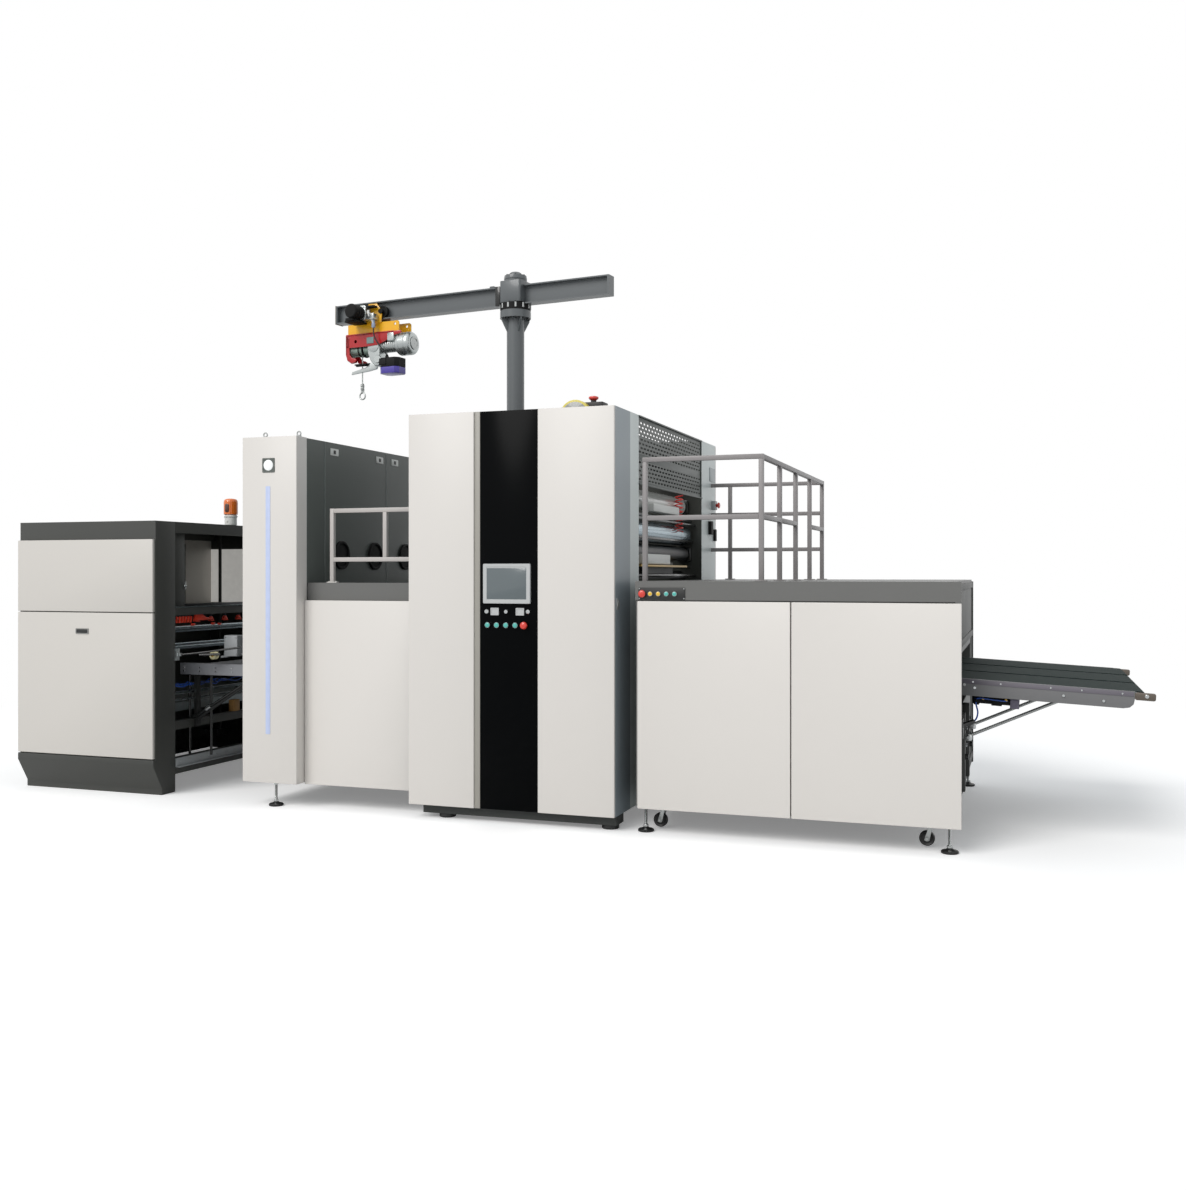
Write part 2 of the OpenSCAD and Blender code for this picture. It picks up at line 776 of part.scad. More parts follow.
// I-beam between two reaches, along the jib's own X
module i_beam(r0, r1) {
    translate([r0, 0, beam_low_z]) rotate([90, 0, 90]) linear_extrude(r1 - r0) {
        translate([-beam_w / 2, 0]) square([beam_w, beam_flange_t]);
        translate([-beam_w / 2, beam_h - beam_flange_t]) square([beam_w, beam_flange_t]);
        translate([-beam_web_t / 2, 0]) square([beam_web_t, beam_h]);
    }
}

// Plate across the beam, from reach r on, standing out of the flanges by a lip
module beam_plate(r, lip) {
    block([r, r + plate_t], [-beam_w / 2 - lip, beam_w / 2 + lip], [beam_low_z, beam_low_z + beam_h]);
}

// Everything on the jib lies along its own X, with the hoist's arm towards -X
module on_jib() {
    translate([jib_x, mid_y, 0]) rotate([0, 0, -jib_turn]) children();
}

module jib_beam() {
    hub_z = flange_z + ring_h;
    cap_z = hub_z + hub_h;
    color("#5a5e60") on_jib() difference() {
        union() {
            bar_z(0, 0, flange_z + running_gap, hub_z, ring_dia);
            bar_z(0, 0, hub_z, cap_z, hub_dia);
            bar_z(0, 0, cap_z, cap_z + cap_h, cap_dia);
            translate([0, 0, cap_z + cap_h]) cylinder(h = dome_h, d1 = cap_dia - 30, d2 = cap_dia - 77);
            i_beam(plate_t - long_arm, 0);
            i_beam(0, short_arm - plate_t);
            beam_plate(-long_arm, 0);
            beam_plate(short_arm - plate_t, 0);
            beam_plate(-splice_x, splice_lip);
            beam_plate(-splice_x + plate_t, splice_lip);
            // Stop on the upper flange
            block([-splice_x - 2 * stop_len, -splice_x - stop_len], [-stop_w / 2, stop_w / 2],
                [beam_low_z + beam_h, beam_low_z + beam_h + stop_h]);
        }
        bar_z(0, 0, flange_z - 1, flange_z + spigot_h + 1, spigot_dia + 2 * journal_gap);
    }
}

cheek_gap = 10;
cheek_t = 8;
trolley_r = -rope_reach + 127;
cheek_len = 140;
cheek_y = beam_w / 2 + cheek_gap;
cheek_top_drop = 16;
axle_pitch = 126;
axle_boss = 8;
wheel_dia = 80;
wheel_w = 18;
yoke_gap = 21;
yoke_h = 66;
yoke_len = 409;
yoke_r0 = -rope_reach - 83;
yoke_top = beam_low_z - yoke_gap;
frame_top = yoke_top - yoke_h;
travel_box_w = 60;
travel_box_len = 110;
travel_box_z = beam_low_z - 15;
travel_box_h = 101;
travel_dia = 96;
travel_len = 97;
travel_r = -rope_reach + 2;
travel_axis = 55;
terminal_len = 60;
terminal_h = 40;
gland_dia = 14;
gland_h = 14;
plug_dia = 20;
plug_h = 55;

// One cheek plate of the trolley with its two wheels, on the side s of the beam
module trolley_side(s) {
    y = s * cheek_y;
    block([trolley_r - cheek_len / 2, trolley_r + cheek_len / 2], [min(y, y + s * cheek_t),
        max(y, y + s * cheek_t)], [frame_top, beam_low_z + beam_h - cheek_top_drop]);
    for (r = [trolley_r - axle_pitch / 2, trolley_r + axle_pitch / 2])
        bar_y(r, min(y, y - s * (cheek_gap + axle_boss + wheel_w - 4)),
            max(y, y - s * (cheek_gap + axle_boss + wheel_w - 4)),
            beam_low_z + beam_flange_t + wheel_dia / 2 + running_gap, wheel_dia);
}

module trolley() {
    box_y = -cheek_y - cheek_t - travel_box_w;
    box_z1 = travel_box_z + travel_box_h;
    terminal_r = travel_r + travel_box_len;
    color("#e0a52c") on_jib() {
        trolley_side(-1);
        trolley_side(1);
        // Yoke under the beam, which the hoist hangs from
        block([yoke_r0, yoke_r0 + yoke_len], [-cheek_y, cheek_y], [frame_top, yoke_top]);
        // Travel motor and its gearbox
        block([travel_r, terminal_r], [box_y, -cheek_y - cheek_t], [travel_box_z, box_z1]);
        bar_y(travel_r + travel_axis, box_y - travel_len, box_y, box_z1 - travel_box_h / 2, travel_dia);
        // Terminal box with the plug that the cable leaves through
        plug_z = beam_low_z + cable_points[0][2];
        block([terminal_r, terminal_r + terminal_len], [box_y, -cheek_y - cheek_t],
            [plug_z + plug_h, plug_z + plug_h + terminal_h]);
        bar_z(cable_points[0][0] - rope_reach, cable_points[0][1], plug_z, plug_z + plug_h,
            plug_dia);
    }
}

hoist_plate_t = 14;
hoist_len = 388;
hoist_w = 124;
hoist_r0 = -rope_reach - 91;
hoist_side_t = 8;
hoist_drop = 184;
plate_low = frame_top - hoist_plate_t;
// Side plate's outline: reach from the frame's left end, height from the top plate's underside
side_plate_points = [[14, 0], [14, -75], [266, -71], [397, -14], [442, -8], [442, 0]];

module hoist_frame() {
    color("#b3262a") on_jib() {
        block([hoist_r0, hoist_r0 + hoist_len], [-hoist_w / 2, hoist_w / 2], [plate_low, frame_top]);
        block([hoist_r0, hoist_r0 + hoist_plate_t], [-hoist_w / 2, hoist_w / 2],
            [frame_top - hoist_drop, plate_low]);
        for (y = [-hoist_w / 2, hoist_w / 2 - hoist_side_t])
            translate([hoist_r0, y + hoist_side_t, plate_low]) rotate([90, 0, 0])
                linear_extrude(hoist_side_t) polygon(side_plate_points);
    }
}

drum_dia = 84;
drum_len = 154;
drive_z = frame_top - 100;
gearbox_len = 96;
gearbox_w = 100;
gearbox_h = 208;
motor_z = drive_z + 16;
motor_dia = 152;
motor_len = 108;
motor_neck_dia = 96;
motor_neck_len = 133;
control_len = 150;
control_w = 120;
control_h = 104;
control_low = 178;
control_gap = 4;
arm_bed = 4;
arm_h = 28;

module hoist_drive() {
    drum_r = hoist_r0 + hoist_plate_t;
    box_r = drum_r + drum_len;
    neck_r = box_r + gearbox_len;
    control_r = neck_r + control_gap;
    color("#a8acaa") on_jib() {
        // Drum, gearbox and motor
        bar_x(drum_r, box_r, 0, drive_z, drum_dia);
        block([box_r, neck_r], [-gearbox_w / 2, gearbox_w / 2], [plate_low - gearbox_h, plate_low]);
        bar_x(neck_r, neck_r + motor_neck_len, 0, motor_z, motor_neck_dia);
        bar_x(neck_r + motor_neck_len, neck_r + motor_neck_len + motor_len, 0, motor_z, motor_dia);
        // Control box below the motor, on its arm
        control_z = drive_z - control_low;
        block([control_r, control_r + control_len], [-control_w / 2 - 8, control_w / 2 - 8],
            [control_z, control_z + control_h]);
        block([neck_r - arm_bed, control_r], [-gearbox_w / 2 + 5, gearbox_w / 2 - 5],
            [plate_low - gearbox_h, plate_low - gearbox_h + arm_h]);
        // Gland that the cable enters through
        cable_end = cable_points[len(cable_points) - 1];
        bar_z(cable_end[0] - rope_reach, cable_end[1], control_z + control_h,
            control_z + control_h + gland_h, gland_dia);
    }
}

rope_dia = 8;
rope_len = 204;
rope_r = -rope_reach;
ring_rise = 26;
ring_wire = 10;
ring_radius = 22;
sleeve_h = 60;
sleeve_dia = 24;
limiter_len = 100;
limiter_w = 16;
limiter_h = 10;
limiter_z = 203;

module hoist_hook() {
    hook_z = drive_z - drum_dia / 2 - rope_len - sleeve_h;
    color("#9a9c9b") on_jib() translate([rope_r, 0, hook_z]) {
        bar_z(0, 0, sleeve_h, sleeve_h + rope_len, rope_dia);
        bar_z(0, 0, ring_rise, ring_rise + sleeve_h, sleeve_dia);
        rotate([90, 0, 0]) rotate_extrude() translate([ring_radius, 0]) circle(d = ring_wire);
        block([-limiter_len / 2, limiter_len / 2], [-limiter_w / 2, limiter_w / 2],
            [limiter_z, limiter_z + limiter_h]);
    }
}

// Cords: each runs along points chosen by hand, as a tube with a ring at each point.
// The cable's points count from the hoist's rope and the beam's underside, the hose's from the
// delivery's end, the air cylinder's axis and the belts' height.
cable_dia = 9;
cable_points = [
    [155, -90, -66], [155, -90, -82], [156, -90, -98], [159, -89, -114],
    [164, -88, -130], [171, -86, -145], [179, -84, -159], [188, -81, -172],
    [197, -78, -185], [206, -74, -198], [215, -70, -210], [223, -66, -221],
    [231, -62, -232], [237, -60, -239], [240.5, -58.6, -244.7]
];
hose_dia = 8;
hose_points = [
    [90, -33, -125], [91, -33, -137], [94, -32, -149], [97, -31, -161],
    [99, -30, -174], [98, -29, -187], [95, -27, -200], [89, -25, -212],
    [81, -23, -222], [71, -21, -231], [60, -19, -238], [48, -18, -243],
    [36, -17, -246], [24, -16, -248], [12, -15, -249], [0, -15, -249]
];
cord_sides = 10;

function unit(v) = v / norm(v);

// Direction of the cord at point i, between its neighbours
function heading(p, i) = unit(p[min(i + 1, len(p) - 1)] - p[max(i - 1, 0)]);

// Ring of points around point i, square to the heading
function cord_ring(p, i, dia, side) = let (t = heading(p, i), u = unit(cross(t, side)), w = cross(t, u))
    [for (k = [0 : cord_sides - 1]) p[i] + dia / 2
        * (cos(360 * k / cord_sides) * u + sin(360 * k / cord_sides) * w)];

// Tube along the points, closed at both ends; side is a direction that it never runs along
module cord_tube(p, dia, side) {
    rings = len(p);
    polyhedron([for (i = [0 : rings - 1]) each cord_ring(p, i, dia, side)], [
        [for (k = [0 : cord_sides - 1]) k],
        [for (k = [0 : cord_sides - 1]) rings * cord_sides - 1 - k],
        for (i = [0 : rings - 2], k = [0 : cord_sides - 1]) let (
            a = i * cord_sides + k, b = i * cord_sides + (k + 1) % cord_sides)
            each [[a, a + cord_sides, b + cord_sides], [a, b + cord_sides, b]]
    ]);
}

module hoist_cable()
    color("#171818") on_jib() translate([-rope_reach, 0, beam_low_z])
        cord_tube(cable_points, cable_dia, [0, 1, 0]);

module air_hose()
    color("#1f4fa8") translate([body_x1, cylinder_y, conveyor_z])
        cord_tube(hose_points, hose_dia, [0, 1, 0]);

// Delivery -----------------------------------------------------------------

delivery_y0 = tower_y0 + delivery_set;
band_lap = 5;
delivery_skin_y = delivery_y0 + panel_t + band_lap;
delivery_skin_y1 = 2 * mid_y - delivery_skin_y;
panel_lap = 8;
body_z = low_panel_z + panel_lap;
end_set = 40;
body_x1 = delivery_x1 - end_set;
band_set = 10;
path_mid_y = (bay_y0 + bay_y1) / 2;
conveyor_y0 = path_mid_y - conveyor_w / 2;
conveyor_y1 = path_mid_y + conveyor_w / 2;
mouth_depth = 260;
mouth_side = 30;
mouth_top = conveyor_z + 90;
mouth_low = conveyor_z - 190;
bridge_z0 = 300;
bridge_z1 = 1180;

// Band above one face's panels, up to x1
module delivery_band(x1) {
    block([delivery_x0, x1], [delivery_y0 + band_set, delivery_skin_y],
        [delivery_panel_top + panel_gap, delivery_h]);
}

module delivery_body() {
    color("#4b4b49") {
        difference() {
            union() {
                block([delivery_x0, body_x1], [delivery_skin_y, delivery_skin_y1], [body_z, delivery_h]);
                // Bands above the panels; the operator's side reaches further
                delivery_band(delivery_x1);
                drive_side() delivery_band(body_x1);
                // Bridge to the tower
                block([tower_x1, delivery_x0], [bay_y0, bay_y1], [bridge_z0, bridge_z1]);
            }
            // Mouth that the belts leave through
            block([body_x1 - mouth_depth, body_x1 + 1],
                [conveyor_y0 - mouth_side, conveyor_y1 + mouth_side], [mouth_low, mouth_top]);
        }
    }
}

panel_end_set = 14;

module delivery_panel_pair(x1) {
    split = delivery_x0 + left_panel_len;
    block([delivery_x0 + panel_end_set, split - panel_gap / 2], [delivery_y0, delivery_skin_y],
        [low_panel_z, delivery_panel_top]);
    block([split + panel_gap / 2, x1], [delivery_y0, delivery_skin_y],
        [low_panel_z, delivery_panel_top]);
}

module delivery_panels() {
    color("#dad6d0") {
        delivery_panel_pair(delivery_x1);
        drive_side() delivery_panel_pair(body_x1);
    }
}

plate_y = delivery_y0 + band_set;
key_plate_set = 18;
key_plate_len = 248;
key_plate_h = 62;
key_plate_t = 4;
key_plate_z = delivery_h - 33 - key_plate_h;
key_z = key_plate_z + key_plate_h / 2 - 1;
key_stop_dia = 38;
key_stop_reach = 20;
key_button_dia = 26;
key_button_reach = 12;
key_pitch = 43;

module delivery_controls() {
    plate_x = delivery_x0 + key_plate_set;
    face_y = plate_y - key_plate_t;
    first_x = plate_x + 22;
    color("#141515") {
        block([plate_x, plate_x + key_plate_len], [face_y, plate_y],
            [key_plate_z, key_plate_z + key_plate_h]);
        bar_y(first_x, face_y - key_stop_reach, face_y, key_z, key_stop_dia);
        for (i = [1 : 4])
            bar_y(first_x + i * key_pitch, face_y - key_button_reach, face_y, key_z, key_button_dia);
    }
}

rail_x0 = delivery_x0 + dark_tube;
rail_x1 = rail_x0 + dark_rail_len;
rail_set = 124;
rail_y0 = tower_y0 + rail_set;
rail_y1 = 2 * mid_y - rail_y0;
rail_bays = 4;
rail_mid_drop = 304;
rail_rear_drops = [0, 198, 433];

// One upright of the dark rail
module rail_post(x, y) {
    block([x - dark_tube / 2, x + dark_tube / 2], [y - dark_tube / 2, y + dark_tube / 2],
        [delivery_h, dark_rail_h - dark_tube]);
}

// Rail along X or along Y, by how far it lies below the topmost one
module rail_along_x(x0, y, drop) {
    block([x0, rail_x1 + dark_tube / 2], [y - dark_tube / 2, y + dark_tube / 2],
        [dark_rail_h - drop - dark_tube, dark_rail_h - drop]);
}

module rail_along_y(y0, y1, drop) {
    block([rail_x1 - dark_tube / 2, rail_x1 + dark_tube / 2], [y0, y1],
        [dark_rail_h - drop - dark_tube, dark_rail_h - drop]);
}

module guard_rail() {
    bay = (rail_y1 - rail_y0) / rail_bays;
    color("#6f6b6c") {
        rail_post(rail_x0, rail_y0);
        rail_post(rail_x0, rail_y1);
        for (i = [0 : rail_bays]) rail_post(rail_x1, rail_y0 + i * bay);
        for (drop = [0, rail_mid_drop]) rail_along_x(rail_x0 - dark_tube / 2, rail_y0, drop);
        // The rear rails run on to the tower
        for (drop = rail_rear_drops) rail_along_x(tower_x1, rail_y1, drop);
        rail_along_y(rail_y0, rail_y1, 0);
        // The third bay has no middle rail, as the way in
        for (i = [0, 1, 3]) rail_along_y(rail_y0 + i * bay, rail_y0 + (i + 1) * bay, rail_mid_drop);
    }
}

// Conveyor -----------------------------------------------------------------

side_plate_t = 14;
side_plate_h = 84;
nose_back = 92;
belt_gap = 46;
belt_side_gap = 5;
belt_w = (conveyor_w - 2 * (side_plate_t + belt_side_gap) - (belt_count - 1) * belt_gap) / belt_count;
nose_h = 36;
nose_low = -40;
table_start = 20;
table_end = (delivery_x1 + conveyor_reach - body_x1 - table_start
    - (nose_low + nose_h) * sin(conveyor_fall)) / cos(conveyor_fall);
belt_end = table_end - 60;
tail_len = 200;

// Everything on the conveyor lies along its own slope, from the delivery's end
module on_conveyor() {
    translate([body_x1 + table_start, 0, conveyor_z]) rotate([0, conveyor_fall, 0]) children();
}

module conveyor_belts() {
    color("#3f5555") on_conveyor() for (i = [0 : belt_count - 1]) {
        y = conveyor_y0 + side_plate_t + belt_side_gap + i * (belt_w + belt_gap);
        block([-tail_len, belt_end], [y, y + belt_w], [-belt_loop_t, 0]);
        bar_y(belt_end, y, y + belt_w, -belt_loop_t / 2, belt_loop_t);
    }
}

stay_inset = 164;
stay_pitch = 500;
stay_ys = [conveyor_y0 + stay_inset, conveyor_y0 + stay_inset + stay_pitch];
stay_dia = 18;
stay_z = 508;
stay_reach = 480;
stay_bed = 4;
stay_lift = 6;
post_w = 60;
post_t = 36;
post_z = 235;
bar_w = 50;
bar_h = side_plate_h - belt_loop_t - running_gap;
rear_bar_x = 150;
front_bar_set = 188;
tail_shaft_dia = 30;
tail_shaft_x = 30;
tail_shaft_z = side_plate_h - 24;
cylinder_inset = 114;
cylinder_y = conveyor_y0 + cylinder_inset;
cylinder_x = 60;
cylinder_len = 220;
cylinder_dia = 46;
cylinder_drop = 25;
clamp_w = 60;
clamp_h = cylinder_drop + cylinder_dia / 2;
elbow_dia = 14;
elbow_h = 15;

// Cross bar between the side plates, under the belts
module cross_bar(x) {
    block([x, x + bar_w], [conveyor_y0 + side_plate_t, conveyor_y1 - side_plate_t],
        [-side_plate_h, bar_h - side_plate_h]);
}

module conveyor_frame() {
    color("#6f7070") {
        on_conveyor() {
            for (y = [conveyor_y0, conveyor_y1 - side_plate_t]) {
                block([-tail_len, table_end - nose_back], [y, y + side_plate_t], [-side_plate_h, 0]);
                block([table_end - nose_back, table_end], [y, y + side_plate_t],
                    [nose_low, nose_low + nose_h]);
            }
            cross_bar(rear_bar_x);
            cross_bar(stay_reach - bar_w / 2);
            cross_bar(table_end - front_bar_set);
            // Tail shaft, held in the sides of the mouth
            bar_y(-tail_len + tail_shaft_x, conveyor_y0 - mouth_side, conveyor_y1 + mouth_side,
                -tail_shaft_z, tail_shaft_dia);
            // Air cylinder in its clamp
            block([rear_bar_x, rear_bar_x + bar_w], [cylinder_y - clamp_w / 2, cylinder_y + clamp_w / 2],
                [-side_plate_h - clamp_h, -side_plate_h]);
            bar_x(cylinder_x, cylinder_x + cylinder_len, cylinder_y, -side_plate_h - cylinder_drop,
                cylinder_dia);
        }
        // Elbow that the hose leaves through
        translate([body_x1, cylinder_y, conveyor_z] + hose_points[0]) {
            cylinder(h = elbow_h, d = elbow_dia);
            bar_y(0, 0, -hose_points[0][1], elbow_h, elbow_dia);
        }
        for (y = stay_ys) {
            // Post on the delivery's end, and the stay that carries the conveyor from it
            block([body_x1, body_x1 + post_t], [y - post_w / 2, y + post_w / 2], [post_z, mouth_low]);
            stay_top = conveyor_z - side_plate_h - stay_reach * sin(conveyor_fall) + stay_lift;
            rise = stay_top - stay_z;
            run = table_start + stay_reach - post_t + stay_bed;
            translate([body_x1 + post_t - stay_bed, y, stay_z]) rotate([0, 90 - atan2(rise, run), 0])
                cylinder(h = norm([rise, run]), d = stay_dia);
        }
    }
}

// Feet and casters ---------------------------------------------------------

pad_h = 14;
stud_dia = 16;
cone_h = 10;
cone_dia = 26;
foot_inset = 90;
tower_pad_dia = 92;
low_feet = [
    [housing_x0 + 184, housing_y0 + 66, housing_z],
    [delivery_x0 + 34, delivery_y0 + foot_inset, body_z],
    [delivery_x1 - 58, delivery_y0 + foot_inset, body_z]
];

module machine_feet() {
    color("#2b2b2a") both_sides() {
        for (p = low_feet) translate([p[0], p[1], 0]) {
            cylinder(h = pad_h, d = foot_dia);
            translate([0, 0, pad_h]) cylinder(h = cone_h, d1 = foot_dia - 30, d2 = cone_dia);
            cylinder(h = p[2], d = stud_dia);
        }
        for (x = [tower_x0 + 3 * base_inset, tower_x1 - base_inset])
            bar_z(x, cabinet_y0 + base_beam_inset + base_beam_w / 2, 0, base_beam_low, tower_pad_dia);
    }
}

caster_x = [delivery_x0 + 114, delivery_x1 - 144];
caster_y = [delivery_y0 + 180, 2 * mid_y - delivery_y0 - 180];
caster_z = 47;
axle_dia = 10;
fork_t = 4;
trail = 26;
fork_in = caster_w / 2 + 5;
fork_w = 40;
fork_nose = 14;
fork_low = 12;
swivel_h = 14;
swivel_dia = 44;
crown_t = 4;
crown_len = 60;

// Swivel plate and fork of one caster
module caster_fork(x, y) {
    top = body_z - running_gap;
    crown_z = top - swivel_h - crown_t;
    color("#b4b6b5") translate([x, y, 0]) {
        bar_z(0, 0, top - swivel_h, top, swivel_dia);
        block([-crown_len / 2 - 7, crown_len / 2 - 7], [-fork_in - fork_t, fork_in + fork_t],
            [crown_z, crown_z + crown_t]);
        for (s = [-fork_in - fork_t, fork_in])
            block([-trail - fork_nose, -trail - fork_nose + fork_w], [s, s + fork_t],
                [caster_z - fork_low, crown_z]);
        bar_y(-trail, -fork_in - fork_t, fork_in + fork_t, caster_z, axle_dia);
    }
}

// Tyred wheel of one caster
module caster_wheel(x, y) {
    color("#232424") translate([x - trail, y + caster_w / 2, caster_z]) rotate([90, 0, 0]) difference() {
        cylinder(h = caster_w, d = caster_dia);
        translate([0, 0, -1]) cylinder(h = caster_w + 2, d = axle_dia + 2 * journal_gap);
    }
}

module caster_fork_1() caster_fork(caster_x[0], caster_y[0]);
module caster_fork_2() caster_fork(caster_x[1], caster_y[0]);
module caster_fork_3() caster_fork(caster_x[0], caster_y[1]);
module caster_fork_4() caster_fork(caster_x[1], caster_y[1]);
module caster_wheel_1() caster_wheel(caster_x[0], caster_y[0]);
module caster_wheel_2() caster_wheel(caster_x[1], caster_y[0]);
module caster_wheel_3() caster_wheel(caster_x[0], caster_y[1]);
module caster_wheel_4() caster_wheel(caster_x[1], caster_y[1]);

feeder_sides();
feeder_frame();
feeder_panels();
suction_head();
pile_table();
transfer_table();
beacon();
housing_body();
housing_covers();
housing_fittings();
link_body();
link_panels();
link_rails();
tower_cabinets();
tower_panels();
glass_strip();
operator_panel();
tower_guards();
tower_frame();
steel_roller();
rubber_roller();
film_roll();
jib_column();
jib_beam();
trolley();
hoist_frame();
hoist_drive();
hoist_hook();
delivery_body();
delivery_panels();
delivery_controls();
guard_rail();
conveyor_frame();
conveyor_belts();
machine_feet();
hoist_cable();
air_hose();
caster_fork_1();
caster_fork_2();
caster_fork_3();
caster_fork_4();
caster_wheel_1();
caster_wheel_2();
caster_wheel_3();
caster_wheel_4();
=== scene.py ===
import math

import bpy
import numpy as np
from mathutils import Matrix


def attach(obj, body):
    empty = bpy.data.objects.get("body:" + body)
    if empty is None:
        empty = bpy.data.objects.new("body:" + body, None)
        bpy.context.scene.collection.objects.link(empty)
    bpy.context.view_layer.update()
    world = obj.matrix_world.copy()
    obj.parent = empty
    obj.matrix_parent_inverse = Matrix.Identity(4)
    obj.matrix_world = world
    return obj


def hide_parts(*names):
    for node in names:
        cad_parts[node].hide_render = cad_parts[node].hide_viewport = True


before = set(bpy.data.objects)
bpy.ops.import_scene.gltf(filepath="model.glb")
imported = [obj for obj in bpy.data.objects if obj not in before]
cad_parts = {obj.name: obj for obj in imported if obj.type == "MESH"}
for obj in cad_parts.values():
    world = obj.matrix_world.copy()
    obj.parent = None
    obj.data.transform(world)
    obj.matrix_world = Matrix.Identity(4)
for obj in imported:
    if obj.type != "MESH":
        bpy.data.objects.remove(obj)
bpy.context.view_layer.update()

# ---------------------------------------------------------------------------
# The workshop round the line: a white sealed floor and even daylight, from high up on the
# operator's side, with the camera at chest height off the delivery's corner.

def linear(hex_value, times=1.0):
    """sRGB hex to linear light, times a factor.

    The light is c / 12.92 for c up to 0.04045, and ((c + 0.055) / 1.055) ** 2.4 above it.
    """
    c = np.array([int(hex_value[i:i + 2], 16) for i in (1, 3, 5)]) / 255
    light = np.where(c <= 0.04045, c / 12.92, ((c + 0.055) / 1.055) ** 2.4)
    return (*(light * times).tolist(), 1.0)


def add(tree, kind, settings=(), links=()):
    """Adds one node. A setting goes to the input of that name or number, or else to the attribute."""
    node = tree.nodes.new(kind)
    for key, value in dict(settings).items():
        if isinstance(key, int) or key in node.inputs:
            node.inputs[key].default_value = value
        else:
            setattr(node, key, value)
    for key, socket in dict(links).items():
        tree.links.new(socket, node.inputs[key])
    return node


def blank(name):
    """A new material, its empty node tree, and the Object coordinates that its patterns lie in."""
    made = bpy.data.materials.new(name)
    made.use_nodes = True
    made.node_tree.nodes.clear()
    return made, made.node_tree, add(made.node_tree, "ShaderNodeTexCoord").outputs["Object"]


scene = bpy.context.scene
scene.view_settings.view_transform = "Standard"

lens = bpy.data.cameras.new("line_camera")
lens.sensor_width, lens.lens, lens.shift_y, lens.clip_end = 36, 37.084, -0.01815, 200
camera = bpy.data.objects.new("line_camera", lens)
camera.location, camera.rotation_euler = (2.6845, -7.082, 1.3405), (math.pi / 2, 0, 0.3392)
scene.collection.objects.link(camera)
scene.camera = camera

# Daylight, a little blue, lights the line; the camera, metal and glass see plain white in its place.
world = bpy.data.worlds.new("workshop")
world.use_nodes = True
sky = world.node_tree
sky.nodes.clear()
rays = add(sky, "ShaderNodeLightPath")
seen = add(sky, "ShaderNodeMath", {"operation": "MAXIMUM"},
           {0: rays.outputs["Is Camera Ray"], 1: rays.outputs["Is Glossy Ray"]})
seen = add(sky, "ShaderNodeMath", {"operation": "MAXIMUM"},
           {0: seen.outputs[0], 1: rays.outputs["Is Transmission Ray"]})
daylight = add(sky, "ShaderNodeBackground", {"Color": (0.93, 0.97, 1.0, 1.0), "Strength": 0.545})
white = add(sky, "ShaderNodeBackground", {"Color": (1, 1, 1, 1), "Strength": 1.0})
mixed = add(sky, "ShaderNodeMixShader", {},
            {0: seen.outputs[0], 1: daylight.outputs[0], 2: white.outputs[0]})
add(sky, "ShaderNodeOutputWorld", {}, {"Surface": mixed.outputs[0]})
scene.world = world

# A row of high windows, as one sun so wide that its shadows have soft edges.
sun = bpy.data.lights.new("high_windows", "SUN")
sun.energy, sun.angle, sun.color = 1.85, math.radians(34), linear("#fffdfb")[:3]
sun_object = bpy.data.objects.new("high_windows", sun)
sun_object.rotation_euler = (math.radians(52), 0, math.radians(-22))
scene.collection.objects.link(sun_object)

# Sealed concrete, painted white: matt, so that it takes only the line's soft shadow. The camera sees it
# lifted a little, and fading to plain white between two distances from the line's middle, in metres.
FLOOR_REACH = 60
FADE = (4.0, 7.5)
corners = [(x * FLOOR_REACH, y * FLOOR_REACH, 0) for x, y in ((-1, -1), (1, -1), (1, 1), (-1, 1))]
floor_mesh = bpy.data.meshes.new("workshop_floor")
floor_mesh.from_pydata(corners, [], [(0, 1, 2, 3)])
floor = bpy.data.objects.new("workshop_floor", floor_mesh)
scene.collection.objects.link(floor)
floor_paint, tree, place = blank("white floor paint, matt")
far = add(tree, "ShaderNodeVectorMath", {"operation": "LENGTH"}, {0: place})
fade = add(tree, "ShaderNodeMapRange", {"From Min": FADE[0], "From Max": FADE[1]},
           {"Value": far.outputs["Value"]})
to_camera = add(tree, "ShaderNodeLightPath").outputs["Is Camera Ray"]
fade = add(tree, "ShaderNodeMath", {"operation": "MULTIPLY"}, {0: fade.outputs[0], 1: to_camera})
tone = add(tree, "ShaderNodeMapRange", {"To Min": 0.80, "To Max": 0.98}, {"Value": to_camera})
paint = add(tree, "ShaderNodeBsdfDiffuse", {}, {"Color": tone.outputs[0]})
glow = add(tree, "ShaderNodeMapRange", {"To Min": 0.0, "To Max": 0.22}, {"Value": to_camera})
lift = add(tree, "ShaderNodeEmission", {"Color": (1, 1, 1, 1)}, {"Strength": glow.outputs[0]})
paint = add(tree, "ShaderNodeAddShader", {}, {0: paint.outputs[0], 1: lift.outputs[0]})
backdrop = add(tree, "ShaderNodeEmission", {"Color": (1, 1, 1, 1), "Strength": 1.0})
mixed = add(tree, "ShaderNodeMixShader", {},
            {0: fade.outputs[0], 1: paint.outputs[0], 2: backdrop.outputs[0]})
add(tree, "ShaderNodeOutputMaterial", {}, {"Surface": mixed.outputs[0]})
floor_mesh.materials.append(floor_paint)

# ---------------------------------------------------------------------------
# Cords: the hoist's PVC control cable, which loops from the travel motor's terminal box down to
# the control box, and the conveyor's blue air line. Both are shown from end to end.

LINE_MID = 15  # Y of the plane halfway between the operator's side and the drive side
JIB = (-335.5, LINE_MID)  # X and Y of the jib's column
JIB_TURN = math.radians(6.6)  # how far the jib is turned clockwise at rest
ROPE = 1177  # from the column out to the hoist's rope
BEAM_Z = 3021  # underside of the jib's beam
DELIVERY_END = 2360.5  # the end face that the conveyor hangs on, in X


